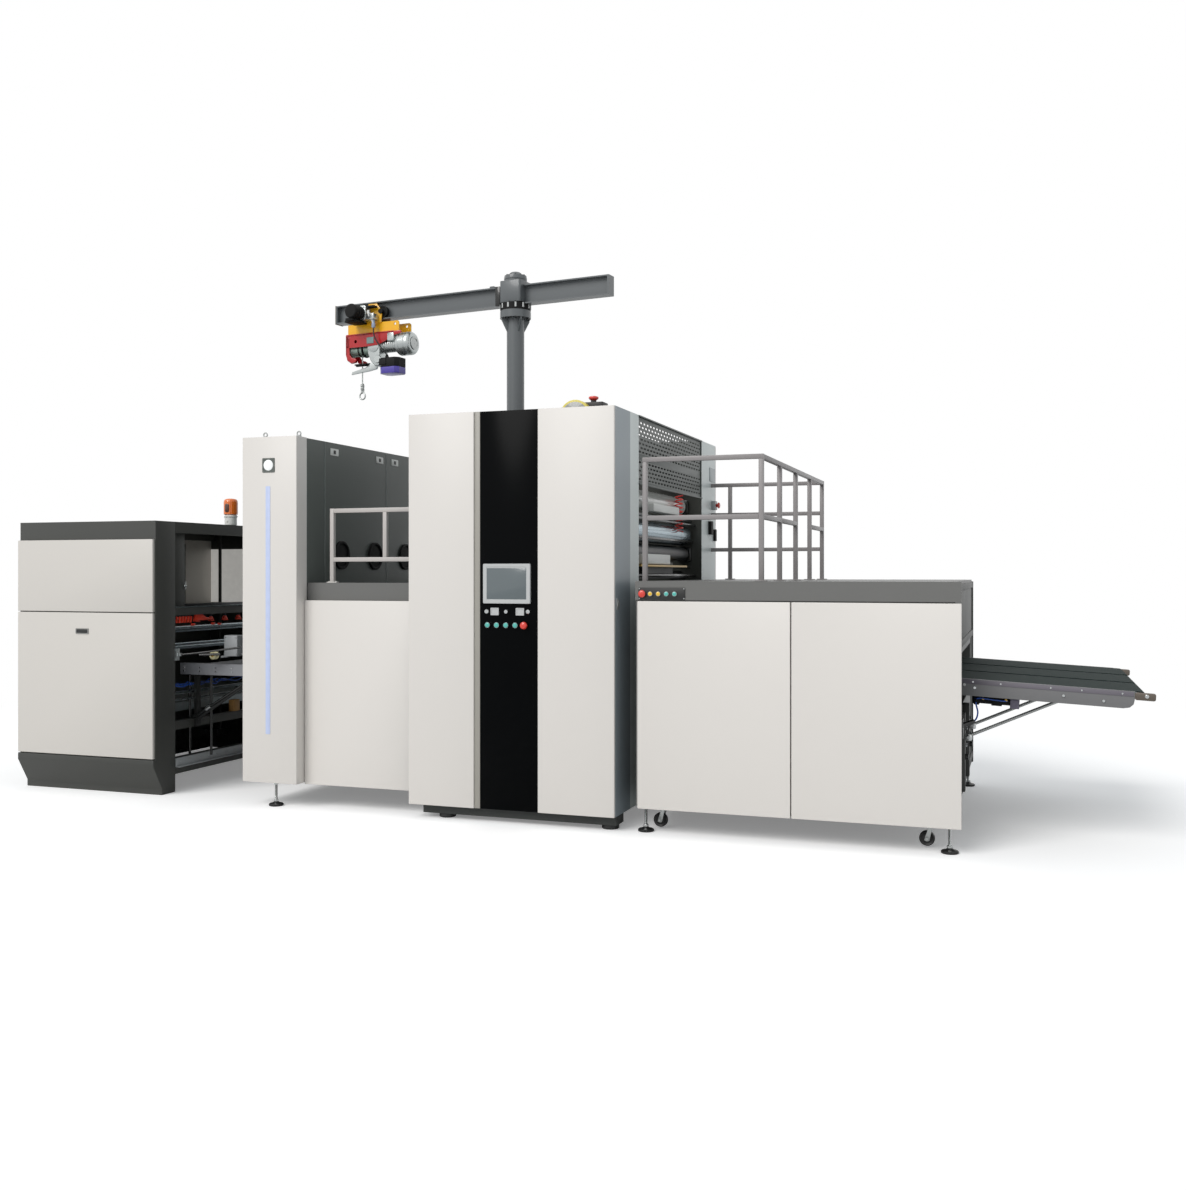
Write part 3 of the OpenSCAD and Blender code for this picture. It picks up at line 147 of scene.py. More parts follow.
def coated(name, colour, roughness=0.45, speck_mm=2.2, depth_mm=0.05, cloud=0.05, metallic=0.0,
           coat=0.0, cloud_mm=500, spread=0.06, shine=0.5):
    """Paint, plastic, rubber or cast metal: specks as bump, and slow clouds that shift its tone and gloss.

    The real specks are finer than a millimetre, and are drawn at speck_mm so that they show.
    """
    made, tree, place = blank(name)
    specks = add(tree, "ShaderNodeTexNoise", {"Scale": 1000 / speck_mm, "Detail": 2.0}, {"Vector": place})
    clouds = add(tree, "ShaderNodeTexNoise", {"Scale": 1000 / cloud_mm, "Detail": 5.0, "Roughness": 0.6},
                 {"Vector": place})
    shade = add(tree, "ShaderNodeMix", {"data_type": "RGBA", 6: linear(colour, 1 + cloud),
                                        7: linear(colour, 1 - cloud)}, {0: clouds.outputs[0]})
    gloss = add(tree, "ShaderNodeMapRange", {"To Min": max(roughness - spread, 0.02),
                                             "To Max": roughness + spread}, {"Value": clouds.outputs[0]})
    bump = add(tree, "ShaderNodeBump", {"Strength": 0.6, "Distance": depth_mm / 1000},
               {"Height": specks.outputs[0]})
    surface = add(tree, "ShaderNodeBsdfPrincipled", {"Metallic": metallic, "Coat Weight": coat,
                                                     "Coat Roughness": 0.06, "Specular IOR Level": shine},
                  {"Base Color": shade.outputs[2], "Roughness": gloss.outputs[0], "Normal": bump.outputs[0]})
    add(tree, "ShaderNodeOutputMaterial", {}, {"Surface": surface.outputs[0]})
    return made


def skin(rings, wrap=False):
    """Skin over rings of points: quad (i, j) joins points j and j + 1 of ring i to those of ring i + 1.

    The end rings are closed flat, unless the last ring joins the first.
    """
    m, n = rings.shape[:2]
    i, j = np.arange(m if wrap else m - 1)[:, None], np.arange(n)[None, :]
    near, far, k = i * n, (i + 1) % m * n, (j + 1) % n
    quads = np.stack([near + j, near + k, far + k, far + j], -1).reshape(-1, 4)
    caps = [] if wrap else [np.arange(n)[::-1], (m - 1) * n + np.arange(n)]
    return rings.reshape(-1, 3), quads, caps


def disc(radius, sides=12):
    """Circle as a profile: radius (cos a, sin a) for equal steps of a."""
    a = np.arange(sides) * 2 * math.pi / sides
    return radius * np.stack([np.cos(a), np.sin(a)], -1)


def sweep(profile, path, up=(0, 0, 1), wrap=False):
    """Profile carried along a path: at each point u runs along up x heading, and v along heading x that.

    The heading at a point is the mean of the runs before and after it.
    """
    path = np.asarray(path, float)
    if wrap:
        heading = np.roll(path, -1, 0) - np.roll(path, 1, 0)
    else:
        run = np.diff(path, axis=0)
        run /= np.linalg.norm(run, axis=1)[:, None]
        heading = np.concatenate([run[:1], run[:-1] + run[1:], run[-1:]])
    heading /= np.linalg.norm(heading, axis=1)[:, None]
    side = np.cross(np.broadcast_to(up, heading.shape), heading)
    side /= np.linalg.norm(side, axis=1)[:, None]
    rise = np.cross(heading, side)
    rings = path[:, None] + profile[None, :, :1] * side[:, None] + profile[None, :, 1:] * rise[:, None]
    return skin(rings, wrap)


def fine(points, steps=3):
    """Smooth line through points: between each two runs a cubic, in so many steps.

    Its slope at a point is half the step from the point before it to the point after it.
    """
    p = np.asarray(points, float)
    p = np.concatenate([2 * p[:1] - p[1:2], p, 2 * p[-1:] - p[-2:-1]])
    t = (np.arange(steps) / steps)[None, :, None]
    a, b, c, d = (p[k:len(p) - 3 + k][:, None] for k in range(4))
    line = (b + t * (c - a) / 2 + t ** 2 * (a - 2.5 * b + 2 * c - d / 2)
            + t ** 3 * (-a + 3 * b - 3 * c + d) / 2)
    return np.concatenate([line.reshape(-1, 3), p[-2:-1]])


def to_jib(points):
    """Points in the jib's own frame, turned clockwise by JIB_TURN about the column and moved to it."""
    c, s = math.cos(JIB_TURN), math.sin(JIB_TURN)
    x, y, z = points.T
    return np.stack([JIB[0] + x * c + y * s, JIB[1] - x * s + y * c, z], -1)


def on_jib(shapes):
    """Shapes in the jib's own frame, each with its points put where to_jib puts them."""
    return [(to_jib(points), quads, caps) for points, quads, caps in shapes]


def piece(name, shapes, material, body="base", hides=()):
    """One object from shapes in millimetres, smooth over edges of up to 32 degrees, riding on its body."""
    points, faces, count = [], [], 0
    for corners, quads, caps in shapes:
        points.append(corners)
        faces += (quads + count).tolist() + [(c + count).tolist() for c in caps]
        count += len(corners)
    mesh = bpy.data.meshes.new(name)
    mesh.from_pydata((np.concatenate(points) / 1000).tolist(), [], faces)
    mesh.polygons.foreach_set("use_smooth", np.ones(len(faces), bool))
    mesh.set_sharp_from_angle(angle=math.radians(32))
    mesh.materials.append(material)
    made = bpy.data.objects.new(name, mesh)
    scene.collection.objects.link(made)
    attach(made, body)
    if hides:
        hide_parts(*hides)
    return made


# Soft black PVC: smooth and slightly glossy, so that its bends catch a thin line of light.
black_pvc = coated("soft black PVC, smooth", "#1a1b1b", 0.38, speck_mm=1.0, depth_mm=0.02)
cable_path = fine(np.array([
    (155, -90, -66), (155, -90, -82), (156, -90, -98), (159, -89, -114), (164, -88, -130), (171, -86, -145),
    (179, -84, -159), (188, -81, -172), (197, -78, -185), (206, -74, -198), (215, -70, -210),
    (223, -66, -221), (231, -62, -232), (237, -60, -239), (240.5, -58.6, -244.7)])
    + [-ROPE, 0, BEAM_Z])
cable = piece("hoist_control_cable", on_jib([sweep(disc(4.5), cable_path, (0, 1, 0))]), black_pvc,
              body="hoist", hides=["hoist_cable"])

# Polyurethane air line: clear blue through and through, with a soft gloss.
blue_tube = coated("blue polyurethane air line", "#1f4fa8", 0.3, speck_mm=1.0, depth_mm=0.01, coat=0.3)
hose_path = fine(np.array([
    (90, -33, -125), (91, -33, -137), (94, -32, -149), (97, -31, -161), (99, -30, -174), (98, -29, -187),
    (95, -27, -200), (89, -25, -212), (81, -23, -222), (71, -21, -231), (60, -19, -238), (48, -18, -243),
    (36, -17, -246), (24, -16, -248), (12, -15, -249), (0, -15, -249)])
    + [DELIVERY_END, -635, 822])
hose = piece("conveyor_air_line", [sweep(disc(4), hose_path, (0, 1, 0))], blue_tube,
             hides=["air_hose"])

# ---------------------------------------------------------------------------
# Feeder: two steel side cabinets with slanting kick plates, and a frame of beams between
# them. Folded 3 mm sheet over tube, powder coated charcoal; it stands on its own toes.

FEEDER = (-3266.5, -2236.5)  # its ends in X
FEEDER_BAY = (-839, 869)  # the cabinets' inner faces in Y
FEEDER_COVER = (-1041, -1021)  # the covers' outer and inner faces in Y


def turned(points, axis):
    """Local (u, v, w) to X, Y, Z: w runs along the axis, and u and v are the next two in turn."""
    return points[..., {"x": [2, 0, 1], "y": [1, 2, 0], "z": [0, 1, 2]}[axis]]


def plate(outline, low, high, axis, edge=1.0, steps=2):
    """Outline drawn out from low to high along an axis, its rims rounded.

    It is drawn in by edge (1 - sin a) at a height of edge (1 - cos a), for a quarter turn of a, and each
    corner moves along the mean of its two sides' normals.
    """
    outline = np.asarray(outline, float)
    side = np.roll(outline, -1, 0) - outline
    out = np.stack([side[:, 1], -side[:, 0]], -1) / np.linalg.norm(side, axis=1)[:, None]
    back = np.roll(out, 1, 0)
    miter = (out + back) / (1 + (out * back).sum(1))[:, None]
    a = np.linspace(0, math.pi / 2, steps + 1)
    inset = np.concatenate([edge * (1 - np.sin(a)), edge * (1 - np.sin(a))[::-1]])
    level = np.concatenate([low + edge * (1 - np.cos(a)), (high - edge * (1 - np.cos(a)))[::-1]])
    drawn = outline[None] - inset[:, None, None] * miter[None]
    rings = np.concatenate([drawn, np.broadcast_to(level[:, None, None], (*drawn.shape[:2], 1))], -1)
    return skin(turned(rings, axis))


def rounded(u, v, radius, steps=3):
    """Rectangle with round corners: at each, centre plus radius (cos a, sin a) over a quarter turn of a."""
    a = np.linspace(0, math.pi / 2, steps + 1)[None, :] + np.arange(4)[:, None] * math.pi / 2
    cu = np.array([u[1] - radius, u[0] + radius, u[0] + radius, u[1] - radius])[:, None]
    cv = np.array([v[1] - radius, v[1] - radius, v[0] + radius, v[0] + radius])[:, None]
    return np.stack([cu + radius * np.cos(a), cv + radius * np.sin(a)], -1).reshape(-1, 2)


def slab(x, y, z, axis="y", corner=2.0, edge=1.0, steps=2):
    """Block of three stretches, its four edges along the axis rounded to corner and the others to edge."""
    u, v, w = {"x": (y, z, x), "y": (z, x, y), "z": (x, y, z)}[axis]
    return plate(rounded(u, v, corner, steps), w[0], w[1], axis, edge)


def about(middle, half):
    """Stretch that reaches half to each side of its middle."""
    return middle - half, middle + half


def mirrored(shape):
    """The same shape on the other side: y becomes twice LINE_MID less y, and each face is turned round."""
    points, quads, caps = shape
    return points * [1, -1, 1] + [0, 2 * LINE_MID, 0], quads[:, ::-1], [c[::-1] for c in caps]


def both(shapes):
    """Shapes on the operator's side and the drive side."""
    return [*shapes, *[mirrored(s) for s in shapes]]


def copies(shape, places):
    """The same shape moved to each of some places."""
    points, quads, caps = shape
    return [(points + np.asarray(p, float), quads, caps) for p in places]


# Charcoal powder coat: an even dark grey whose fine orange peel breaks up the highlights.
charcoal = coated("charcoal powder coat, fine texture", "#40413e", 0.5, depth_mm=0.08)
cabinet_section = [(FEEDER_COVER[0], 180), (-964, 41), (-964, 0), (FEEDER_BAY[0], 0), (FEEDER_BAY[0], 1658),
                   (FEEDER_COVER[1], 1658), (FEEDER_COVER[1], 220), (FEEDER_COVER[0], 220)]
piece("feeder_side_cabinets", both([plate(cabinet_section, *FEEDER, "x", 2)]), charcoal,
      hides=["feeder_sides"])


def finish_node(node, material):
    """The CAD node keeps its shape and takes the material in all its slots."""
    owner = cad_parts[node]
    if not owner.material_slots:
        owner.data.materials.append(material)
    for held in owner.material_slots:
        held.material = material


finish_node("feeder_frame", charcoal)

# ---------------------------------------------------------------------------
# Feeder panels: lift-off covers of folded 1.5 mm steel, warm white powder coat, with rounded
# folds. The lower one has a black flush pull, and one closes the left end above the pile.

# Warm white powder coat: satin, so that the high windows show as soft bands. The feeder's copy is a little
# rougher, and darker and greyer: painted shade.
warm_white = coated("warm white powder coat, satin", "#d9d5d0", 0.36, cloud=0.012, depth_mm=0.05)
shaded_white = coated("warm white powder coat, painted shade", "#cdc9c3", 0.4, cloud=0.012, depth_mm=0.05)
piece("feeder_covers", both([slab((FEEDER[0], FEEDER[1] - 6), FEEDER_COVER, z, corner=3, edge=3)
                             for z in ((226, 1101), (1107, 1546))])
      + [slab((FEEDER[0], FEEDER[0] + 20), FEEDER_BAY, (1104, 1590), "x", 3, 2)], shaded_white,
      hides=["feeder_panels"])

# Moulded black plastic: matt, with a fine spark-eroded grain.
black_plastic = coated("moulded black plastic, grained", "#1c1d1d", 0.5, speck_mm=1.2, depth_mm=0.06)


def dish(outline, levels, axis):
    """One outline at several levels, from (height, share) pairs: a share draws it in to its middle."""
    outline = np.asarray(outline, float)
    middle = outline.mean(0)
    rings = np.stack([np.concatenate([middle + (outline - middle) * (1 - share),
                                      np.full((len(outline), 1), height)], 1) for height, share in levels])
    return skin(turned(rings, axis))


# Die-cast rim: its pale grey edge draws the pull's outline round the black well.
pull = rounded((970, 1004), (-2815, -2715), 5)
piece("feeder_pull", [dish(pull, [(-1042, 0.16), (-1044.5, 0.14), (-1044.5, 0.02), (-1042, 0),
                                  (-1038, 0)], "y")],
      coated("grey die-cast rim", "#8f8f8c", 0.4))
piece("feeder_pull_well", [slab((-2808, -2722), (-1043, -1039), (976, 998), corner=3, edge=0.5)],
      black_plastic)

# ---------------------------------------------------------------------------
# Suction head: a square steel bar across the feeder that lifts the top sheet with eight red
# rubber cups on sprung stems, and a row of red separator fingers at its near end.

def lathe(profile, axis, centre=(0, 0, 0), sides=32, ribs=1.0):
    """Profile of (r, h) pairs turned about an axis: a point is centre + (r cos a, r sin a, h).

    Where ribs are given, r is multiplied by one of them at each step of a.
    """
    profile = np.asarray(profile, float)
    ring = disc(1, sides) * np.reshape(ribs, (-1, 1))
    rings = np.concatenate([profile[:, None, :1] * ring[None],
                            np.broadcast_to(profile[:, None, 1:], (len(profile), sides, 1))], -1)
    points, quads, caps = skin(turned(rings, axis))
    return points + np.asarray(centre, float), quads, caps


def rod(low, high, radius, centre, axis, edge=1.0, sides=24):
    """Round bar from low to high along an axis through centre, with chamfered ends."""
    return lathe([(radius - edge, low), (radius, low + edge), (radius, high - edge), (radius - edge, high)],
                 axis, centre, sides)


def bolts(places, radius, height, axis, sides=6):
    """Screw heads at some places, each turned down by a seventh at its outer end.

    A height below 0 looks back along the axis.
    """
    levels = sorted([(height, 0.86 * radius), (0.8 * height, radius), (0.0, radius)])
    return copies(lathe([(r, h) for h, r in levels], axis, sides=sides), places)


def flat(outline, low, high, axis, edge=1.0, steps=2):
    """Plate from an outline given either way round, of (y, z), (x, z) or (x, y) pairs for x, y or z.

    It is turned round when its area, half the sum of u v' - u' v, is negative.
    """
    outline = np.asarray(outline, float)
    if axis == "y":
        outline = outline[:, ::-1]
    u, v = outline.T
    area = (u * np.roll(v, -1) - np.roll(u, -1) * v).sum()
    return plate(outline if area > 0 else outline[::-1], low, high, axis, edge, steps)


# Silicone rubber glows red against the oiled steel, whose film of oil gives a soft dark sheen.
red_rubber = coated("bright red silicone rubber", "#e8432c", 0.42, speck_mm=1.5, depth_mm=0.05)
dark_steel = coated("dark oiled steel", "#34373a", 0.32, metallic=0.5, speck_mm=3, cloud=0.2, cloud_mm=90)
HEAD_X, HEAD_Z = -2446.5, 1098  # the bar's middle and its underside
cup_places = [(HEAD_X, LINE_MID + (k - 3.5) * 150, HEAD_Z - 74) for k in range(8)]
piece("suction_head_bar", [slab(about(HEAD_X, 32), FEEDER_BAY, (HEAD_Z, HEAD_Z + 46), corner=4)]
      + copies(rod(31, 74, 8, (0, 0, 0), "z"), cup_places), dark_steel,
      hides=["suction_head"])
piece("suction_cups", copies(
    lathe([(20, 1), (23, 0), (23, 1.5), (19, 9), (21, 14), (14, 21), (11, 30), (8, 31)], "z", sides=24),
    cup_places), red_rubber)
fingers = [flat([(y, 1034), (y + 11, 1034), (y + 19, 1070), (y + 8, 1074)], -2262, -2250, "x", 1.5)
           for y in range(-812, -650, 27)]
wedge = flat([(-636, 1042), (-500, 1044), (-440, 1052), (-520, 1062), (-560, 1082), (-620, 1080)],
             -2268, -2248, "x", 3)
piece("separator_fingers", fingers + [wedge] + copies(slab((0, 14), (0, 30), (0, 12), "z", 3, 1),
      [(-2262, -660, 1014), (-2262, -460, 1012), (-2262, -395, 1008)]), red_rubber)

# ---------------------------------------------------------------------------
# Pile table: a rolled steel plate on a folded frame, lifted along four ground guide rods by a
# chain hoist. The rods pass through bushes at its corners.

def brushed(name, colour, roughness=0.32, along="x", grain_mm=0.8, streak_mm=60, depth_mm=0.02, cloud=0.08,
            metallic=1.0):
    """Rolled, drawn or ground metal, or wood: noise stretched along one axis, in tone, gloss and bump.

    The real grain is finer, and is drawn at grain_mm across and streak_mm along so that it shows.
    """
    made, tree, place = blank(name)
    scale = [1000 / (streak_mm if axis == along else grain_mm) for axis in "xyz"]
    drawn = add(tree, "ShaderNodeMapping", {"Scale": scale}, {"Vector": place})
    streaks = add(tree, "ShaderNodeTexNoise", {"Scale": 1.0, "Detail": 3.0}, {"Vector": drawn.outputs[0]})
    shade = add(tree, "ShaderNodeMix", {"data_type": "RGBA", 6: linear(colour, 1 + cloud),
                                        7: linear(colour, 1 - 2 * cloud)}, {0: streaks.outputs[0]})
    gloss = add(tree, "ShaderNodeMapRange", {"To Min": roughness - 0.1, "To Max": roughness + 0.1},
                {"Value": streaks.outputs[0]})
    bump = add(tree, "ShaderNodeBump", {"Strength": 0.5, "Distance": depth_mm / 1000},
               {"Height": streaks.outputs[0]})
    surface = add(tree, "ShaderNodeBsdfPrincipled", {"Metallic": metallic},
                  {"Base Color": shade.outputs[2], "Roughness": gloss.outputs[0], "Normal": bump.outputs[0]})
    add(tree, "ShaderNodeOutputMaterial", {}, {"Surface": surface.outputs[0]})
    return made


# Rolled steel sheet: grey-blue, with the mill's faint streaks along the line.
steel_sheet = brushed("rolled steel sheet", "#8f9799", 0.4, "x", metallic=0.8)
finish_node("pile_table", steel_sheet)

# ---------------------------------------------------------------------------
# Inside the feeder's mouth: pale lining panels, ground shafts, a gearbox, the cross clamp with its
# rod and pulley, two black guide rods and the front gas strut. They are bolted to the frame.

def glowing(name, colour, strength, roughness=0.3):
    """A lamp's face, or a surface given painted light: it gives light in its own colour, a little in
    patches.
    """
    made, tree, place = blank(name)
    patch = add(tree, "ShaderNodeTexNoise", {"Scale": 1000 / 35, "Detail": 1.0}, {"Vector": place})
    shade = add(tree, "ShaderNodeMix", {"data_type": "RGBA", 6: linear(colour), 7: linear(colour, 0.88)},
                {0: patch.outputs[0]})
    surface = add(tree, "ShaderNodeBsdfPrincipled", {"Roughness": roughness, "Emission Strength": strength},
                  {"Base Color": shade.outputs[2], "Emission Color": shade.outputs[2]})
    add(tree, "ShaderNodeOutputMaterial", {}, {"Surface": surface.outputs[0]})
    return made


# Zinc plate is a dull silver and turned steel a bright one, lacquer a black with white highlights, and
# enamel a pale even grey. Die-cast aluminium sparkles a little; brass and cream nylon are warm accents.
zinc = coated("zinc-plated steel, dull", "#b4b7b6", 0.32, metallic=0.85, speck_mm=3, cloud=0.08,
              cloud_mm=120)
bright = coated("bright turned steel", "#c9cccc", 0.2, metallic=1.0, depth_mm=0.01, cloud_mm=60)
black_gloss = coated("black lacquer, gloss", "#171918", 0.25, depth_mm=0.02, coat=0.3)
pale_enamel = coated("pale grey enamel, satin", "#d6d4cf", 0.4)
grey_pale = coated("grey gearbox enamel", "#a3a6a8", 0.4)
# The lining's enamel glows, though it is no lamp: painted light, for the light that falls into the mouth
# from above.
painted_light_enamel = glowing("pale enamel, glowing as painted light", "#d6d4cf", 0.45, 0.4)
MOUTH = (-838, 868)  # what lies across the mouth, in Y: just short of the cabinets
piece("feeder_lining", [slab((-3254, -3250), (560, 866), (1120, 1526), "x", 3, 1),
                        slab((-3250, -2300), (864, 868.5), (1120, 1526), corner=3, edge=1),
                        slab((-2250, -2243), (-835, 865), (1600, 1618), "y", 2, 1)], painted_light_enamel)
piece("feeder_mouth_posts", [slab((-2286, -2270), (FEEDER_BAY[0], -706), (1132, 1590), "z", 3, 1),
                             slab((-3254, -3246), (430, 560), (1120, 1560), "x", 3, 1),
                             slab((-3254, -3246), MOUTH, (2, 170), "x", 3, 1)], charcoal)
piece("feeder_latch", [slab((-2276, -2264), (-714, -700), (1240, 1290), "z", 3, 1),
                       rod(-720, -694, 6, (-2268, 0, 1262), "y")], bright)
# Ground steel, blue-grey: each shaft shows as one bright line, with faint streaks along it.
shafts = ((-2262, 1004, 13), (-2280, 984, 9), (-2258, 905, 7), (-2300, 880, 14))
flat_bars = [((-2250, -2228), (1129, 1136)), ((-2262, -2246), (594, 612)), ((-2262, -2240), (556, 566))]
piece("feeder_shafts", [rod(*MOUTH, radius, (x, 0, z), "y") for x, z, radius in shafts]
      + [slab(x, MOUTH, z, "y", 2, 1) for x, z in flat_bars],
      brushed("ground shaft steel", "#a9b4b9", 0.25, "y"))
piece("feeder_gearbox", [slab((-2060, -1960), (-600, -520), (822, 952), "z", 8, 3),
                         flat([(-2110, 806), (-1900, 838), (-1900, 846), (-2110, 820)], -560, -500, "y", 1)]
      + bolts([(x, -600, z) for x in (-2050, -1970) for z in (834, 940)], 5, -4, "y"), grey_pale)
piece("cross_clamp", [slab((-2262, -2192), (-848, -832), (833, 853), "y", 3, 1),
                      slab((-2238, -2214), (-852, -828), (806, 880), "y", 3, 1)]
      + bolts([(-2250, -848, 843), (-2204, -848, 843), (-2226, -852, 816), (-2226, -852, 870)], 4, -4, "y"),
      coated("die-cast aluminium, bright", "#ccd2d2", 0.28, metallic=0.9, depth_mm=0.05))
piece("clamp_rod", [sweep(disc(6), [(-2192, -839, 843), (-2060, -790, 858), (-1862, -700, 886)]),
                    sweep(disc(8), [(-2120, -760, 838), (-2000, -720, 842)]),
                    *[rod(205, 700, 8, (x, -640, 0), "z") for x in (-2284, -2123)]], black_gloss)
PULLEY = (-2056, -700, 833)
piece("cream_pulley", [lathe([(24, -16), (25, -14), (19, -8), (19, 8), (25, 14), (24, 16)], "y", PULLEY)],
      coated("cream nylon", "#d9d2a8", 0.45))
piece("pulley_hub", [lathe([(3, -24), (9, -22), (9, -8)], "y", PULLEY, 20)],
      coated("brass, turned", "#b8923f", 0.3, metallic=1.0))
strut_foot, strut_head = (-2350, 0, 376), (-1790, 0, 704)
strut = np.array([strut_foot, (-2140, 0, 499), (-2118, 0, 512), (-1900, 0, 640), strut_head]) - [0, 660, 0]
piece("gas_strut", [sweep(disc(11, 20), strut[:2]), sweep(disc(6, 16), strut[2:])], black_gloss)
piece("strut_collar", [sweep(disc(15, 20), [(-2146, -660, 495.6), (-2112, -660, 515.4)]),
                       rod(-672, -648, 12, strut_foot, "y"), rod(-672, -648, 10, strut_head, "y")],
      bright)
sill_bolts = [(FEEDER[1] + 10, y, 180) for y in range(-800, 840, 90)]
piece("base_angle", [slab((FEEDER[1], FEEDER[1] + 10), FEEDER_BAY, (152, 206), "x", 2, 1),
                     slab((FEEDER[1], -2205), FEEDER_BAY, (150, 156), "y", 2, 1)]
      + bolts(sill_bolts, 8, 5, "x"), grey_pale)
# Pine: warm and dull, with its grain drawn as coarse as it needs to show.
piece("wooden_block", [slab((-2282, -2240), about(-211, 31), (430, 506), "z", 2, 1)],
      brushed("planed pine", "#b98b52", 0.6, "x", 4, 90, 0.1, 0.15, 0))
waves = np.array([0, 6, -5, 8, -3, 12, -6, 4, 9, -4, 3, 0])
tube_lines = [fine(np.stack([np.full(12, x), np.linspace(-820, end, 12), 646 + dz * waves], -1))
              for x, end, dz in ((-2262, 100, 1.0), (-2250, 40, -1.4), (-2270, -300, 1.8))]
piece("blue_air_tubes", [sweep(disc(4, 8), line) for line in tube_lines], blue_tube)

# ---------------------------------------------------------------------------
# Transfer table: two steel channels with a sheet deck between them, bolted to the housing
# beside the slot, hung from the feeder's sill and held up by gas struts.

def zoned(name, zones, outside, roughness=0.36, axis="Y"):
    """Paint in zones: a zone's colour holds where one coordinate, in metres, is between two values."""
    made = coated(name, outside, roughness, cloud=0.03)
    tree = made.node_tree
    surface = next(n for n in tree.nodes if n.type == "BSDF_PRINCIPLED")
    shade = surface.inputs["Base Color"].links[0].from_socket
    place = next(n for n in tree.nodes if n.type == "TEX_COORD")
    across = add(tree, "ShaderNodeSeparateXYZ", {}, {0: place.outputs["Object"]}).outputs[axis]
    for (low, high), colour in zones:
        above = add(tree, "ShaderNodeMath", {"operation": "GREATER_THAN", 1: low}, {0: across})
        below = add(tree, "ShaderNodeMath", {"operation": "LESS_THAN", 1: high}, {0: across})
        inside = add(tree, "ShaderNodeMath", {"operation": "MULTIPLY"},
                     {0: above.outputs[0], 1: below.outputs[0]})
        shade = add(tree, "ShaderNodeMix", {"data_type": "RGBA", 7: linear(colour)},
                    {0: inside.outputs[0], 6: shade}).outputs[2]
    tree.links.new(shade, surface.inputs["Base Color"])
    return made


# Light grey powder coat on the channels and the deck; black lacquer on the struts and hangers below.
finish_node("transfer_table", zoned("light grey powder coat over black struts",
                                    [((0.0, 0.7055), "#191a19")], "#85868a", 0.42, "Z"))
channel_screws = [(x, -660, z) for x in range(-2310, -1600, 118) for z in (728, 750)]
piece("channel_screws", bolts(channel_screws, 5, -4, "y", 12), bright)

# ---------------------------------------------------------------------------
# Warning beacon: a ribbed amber polycarbonate dome over a pale grey base, with the lamp's dark
# reflector showing through. It is screwed to the feeder's roof.

# Pale moulded plastic is an even off-white. The amber dome is glossy and strongly coloured, and the
# reflector behind it shows as a brown shade.
pale_plastic = coated("pale grey moulded plastic", "#dfe0dc", 0.4, speck_mm=1.5, depth_mm=0.03)
amber = coated("amber polycarbonate, ribbed", "#e8721a", 0.16, speck_mm=1.2, depth_mm=0.02, coat=0.6)
BEACON = (-2278.5, -225, 1658)
piece("beacon_base", [lathe([(36, 0), (39.5, 4), (39.5, 52), (44, 56), (44, 62), (40, 66), (36, 72)], "z",
                            BEACON, 40)]
      + bolts([(BEACON[0], -264.5, 1685)], 7, -3, "y", 16), pale_plastic)
dome = np.array([(44, 72), (46, 74), (46, 150), (44.5, 162), (40, 170), (31, 175), (18, 177.5), (6, 178)])
dome_ribs = 1 + 0.012 * np.cos(np.arange(96) * math.pi / 2)
piece("beacon_dome", [lathe(dome * [0.985, 1], "z", BEACON, 96, dome_ribs)], amber,
      hides=["beacon"])
piece("beacon_reflector", [slab((-2292, -2262), (-271.5, -264), (1742, 1800), "y", 12, 2, 4)],
      coated("smoked reflector behind amber", "#4a2410", 0.3, coat=0.5))

# ---------------------------------------------------------------------------
# Dust-cleaning housing: a tall welded box with a slot for the sheets, painted dark grey-green
# inside, and closed on both sides by deep folded covers in warm white.

# Dark grey-green powder coat: a deep, slightly cool shade behind the white covers.
dark_wall = coated("dark grey-green powder coat, satin", "#585e5a", 0.38, cloud=0.04)
finish_node("housing_body", dark_wall)
LINK = (-1219.5, -503.5)  # the ends in X of the link between housing and tower
WALL_X = LINK[0] - 3  # the face of the wall that the seams, ports and latches lie on
piece("housing_side_covers", both([slab((-1581.5, LINK[0]), (-1078, -970), (140, 2124), "z", 4, 3, 3)]),
      warm_white, hides=["housing_covers"])
# Seams of the wall's service doors, and the corner post left of the first: a thin light line each.
piece("wall_seams", [slab((WALL_X, WALL_X + 2), about(y, 1.5), (150, 2118), "z", 0.5, 0.3)
                     for y in (-775, -35)],
      coated("light grey seam line", "#8d9492", 0.4))

# Light strip: an opal polycarbonate profile over LEDs, let into the cover. It glows faintly blue, and
# the lamp above it plain white in its dark bezel.
piece("light_strip", [slab((-1423.5, -1393.5), (-1080, -1078), (420, 1840), corner=4, edge=0.6)],
      glowing("opal LED strip, lit pale blue", "#b9c5e4", 0.12),
      hides=["housing_fittings"])
LAMP = (-1404.5, -1078, 1960)
piece("lamp_bezel", [dish(rounded(about(LAMP[2], 41), about(LAMP[0], 41), 4),
                          [(-1079, 0.24), (-1081, 0.22), (-1082, 0.2), (-1082, 0.02), (-1081, 0),
                           (-1078, 0)], "y")],
      coated("dark grey lamp bezel", "#5d625e", 0.4))
piece("lamp_lens", [lathe([(0.1, -10), (12, -9.6), (24, -8), (30, -5.5), (31, -4), (31, 0)], "y",
                          LAMP, 40)],
      glowing("opal lamp lens", "#eef0f0", 0.25))
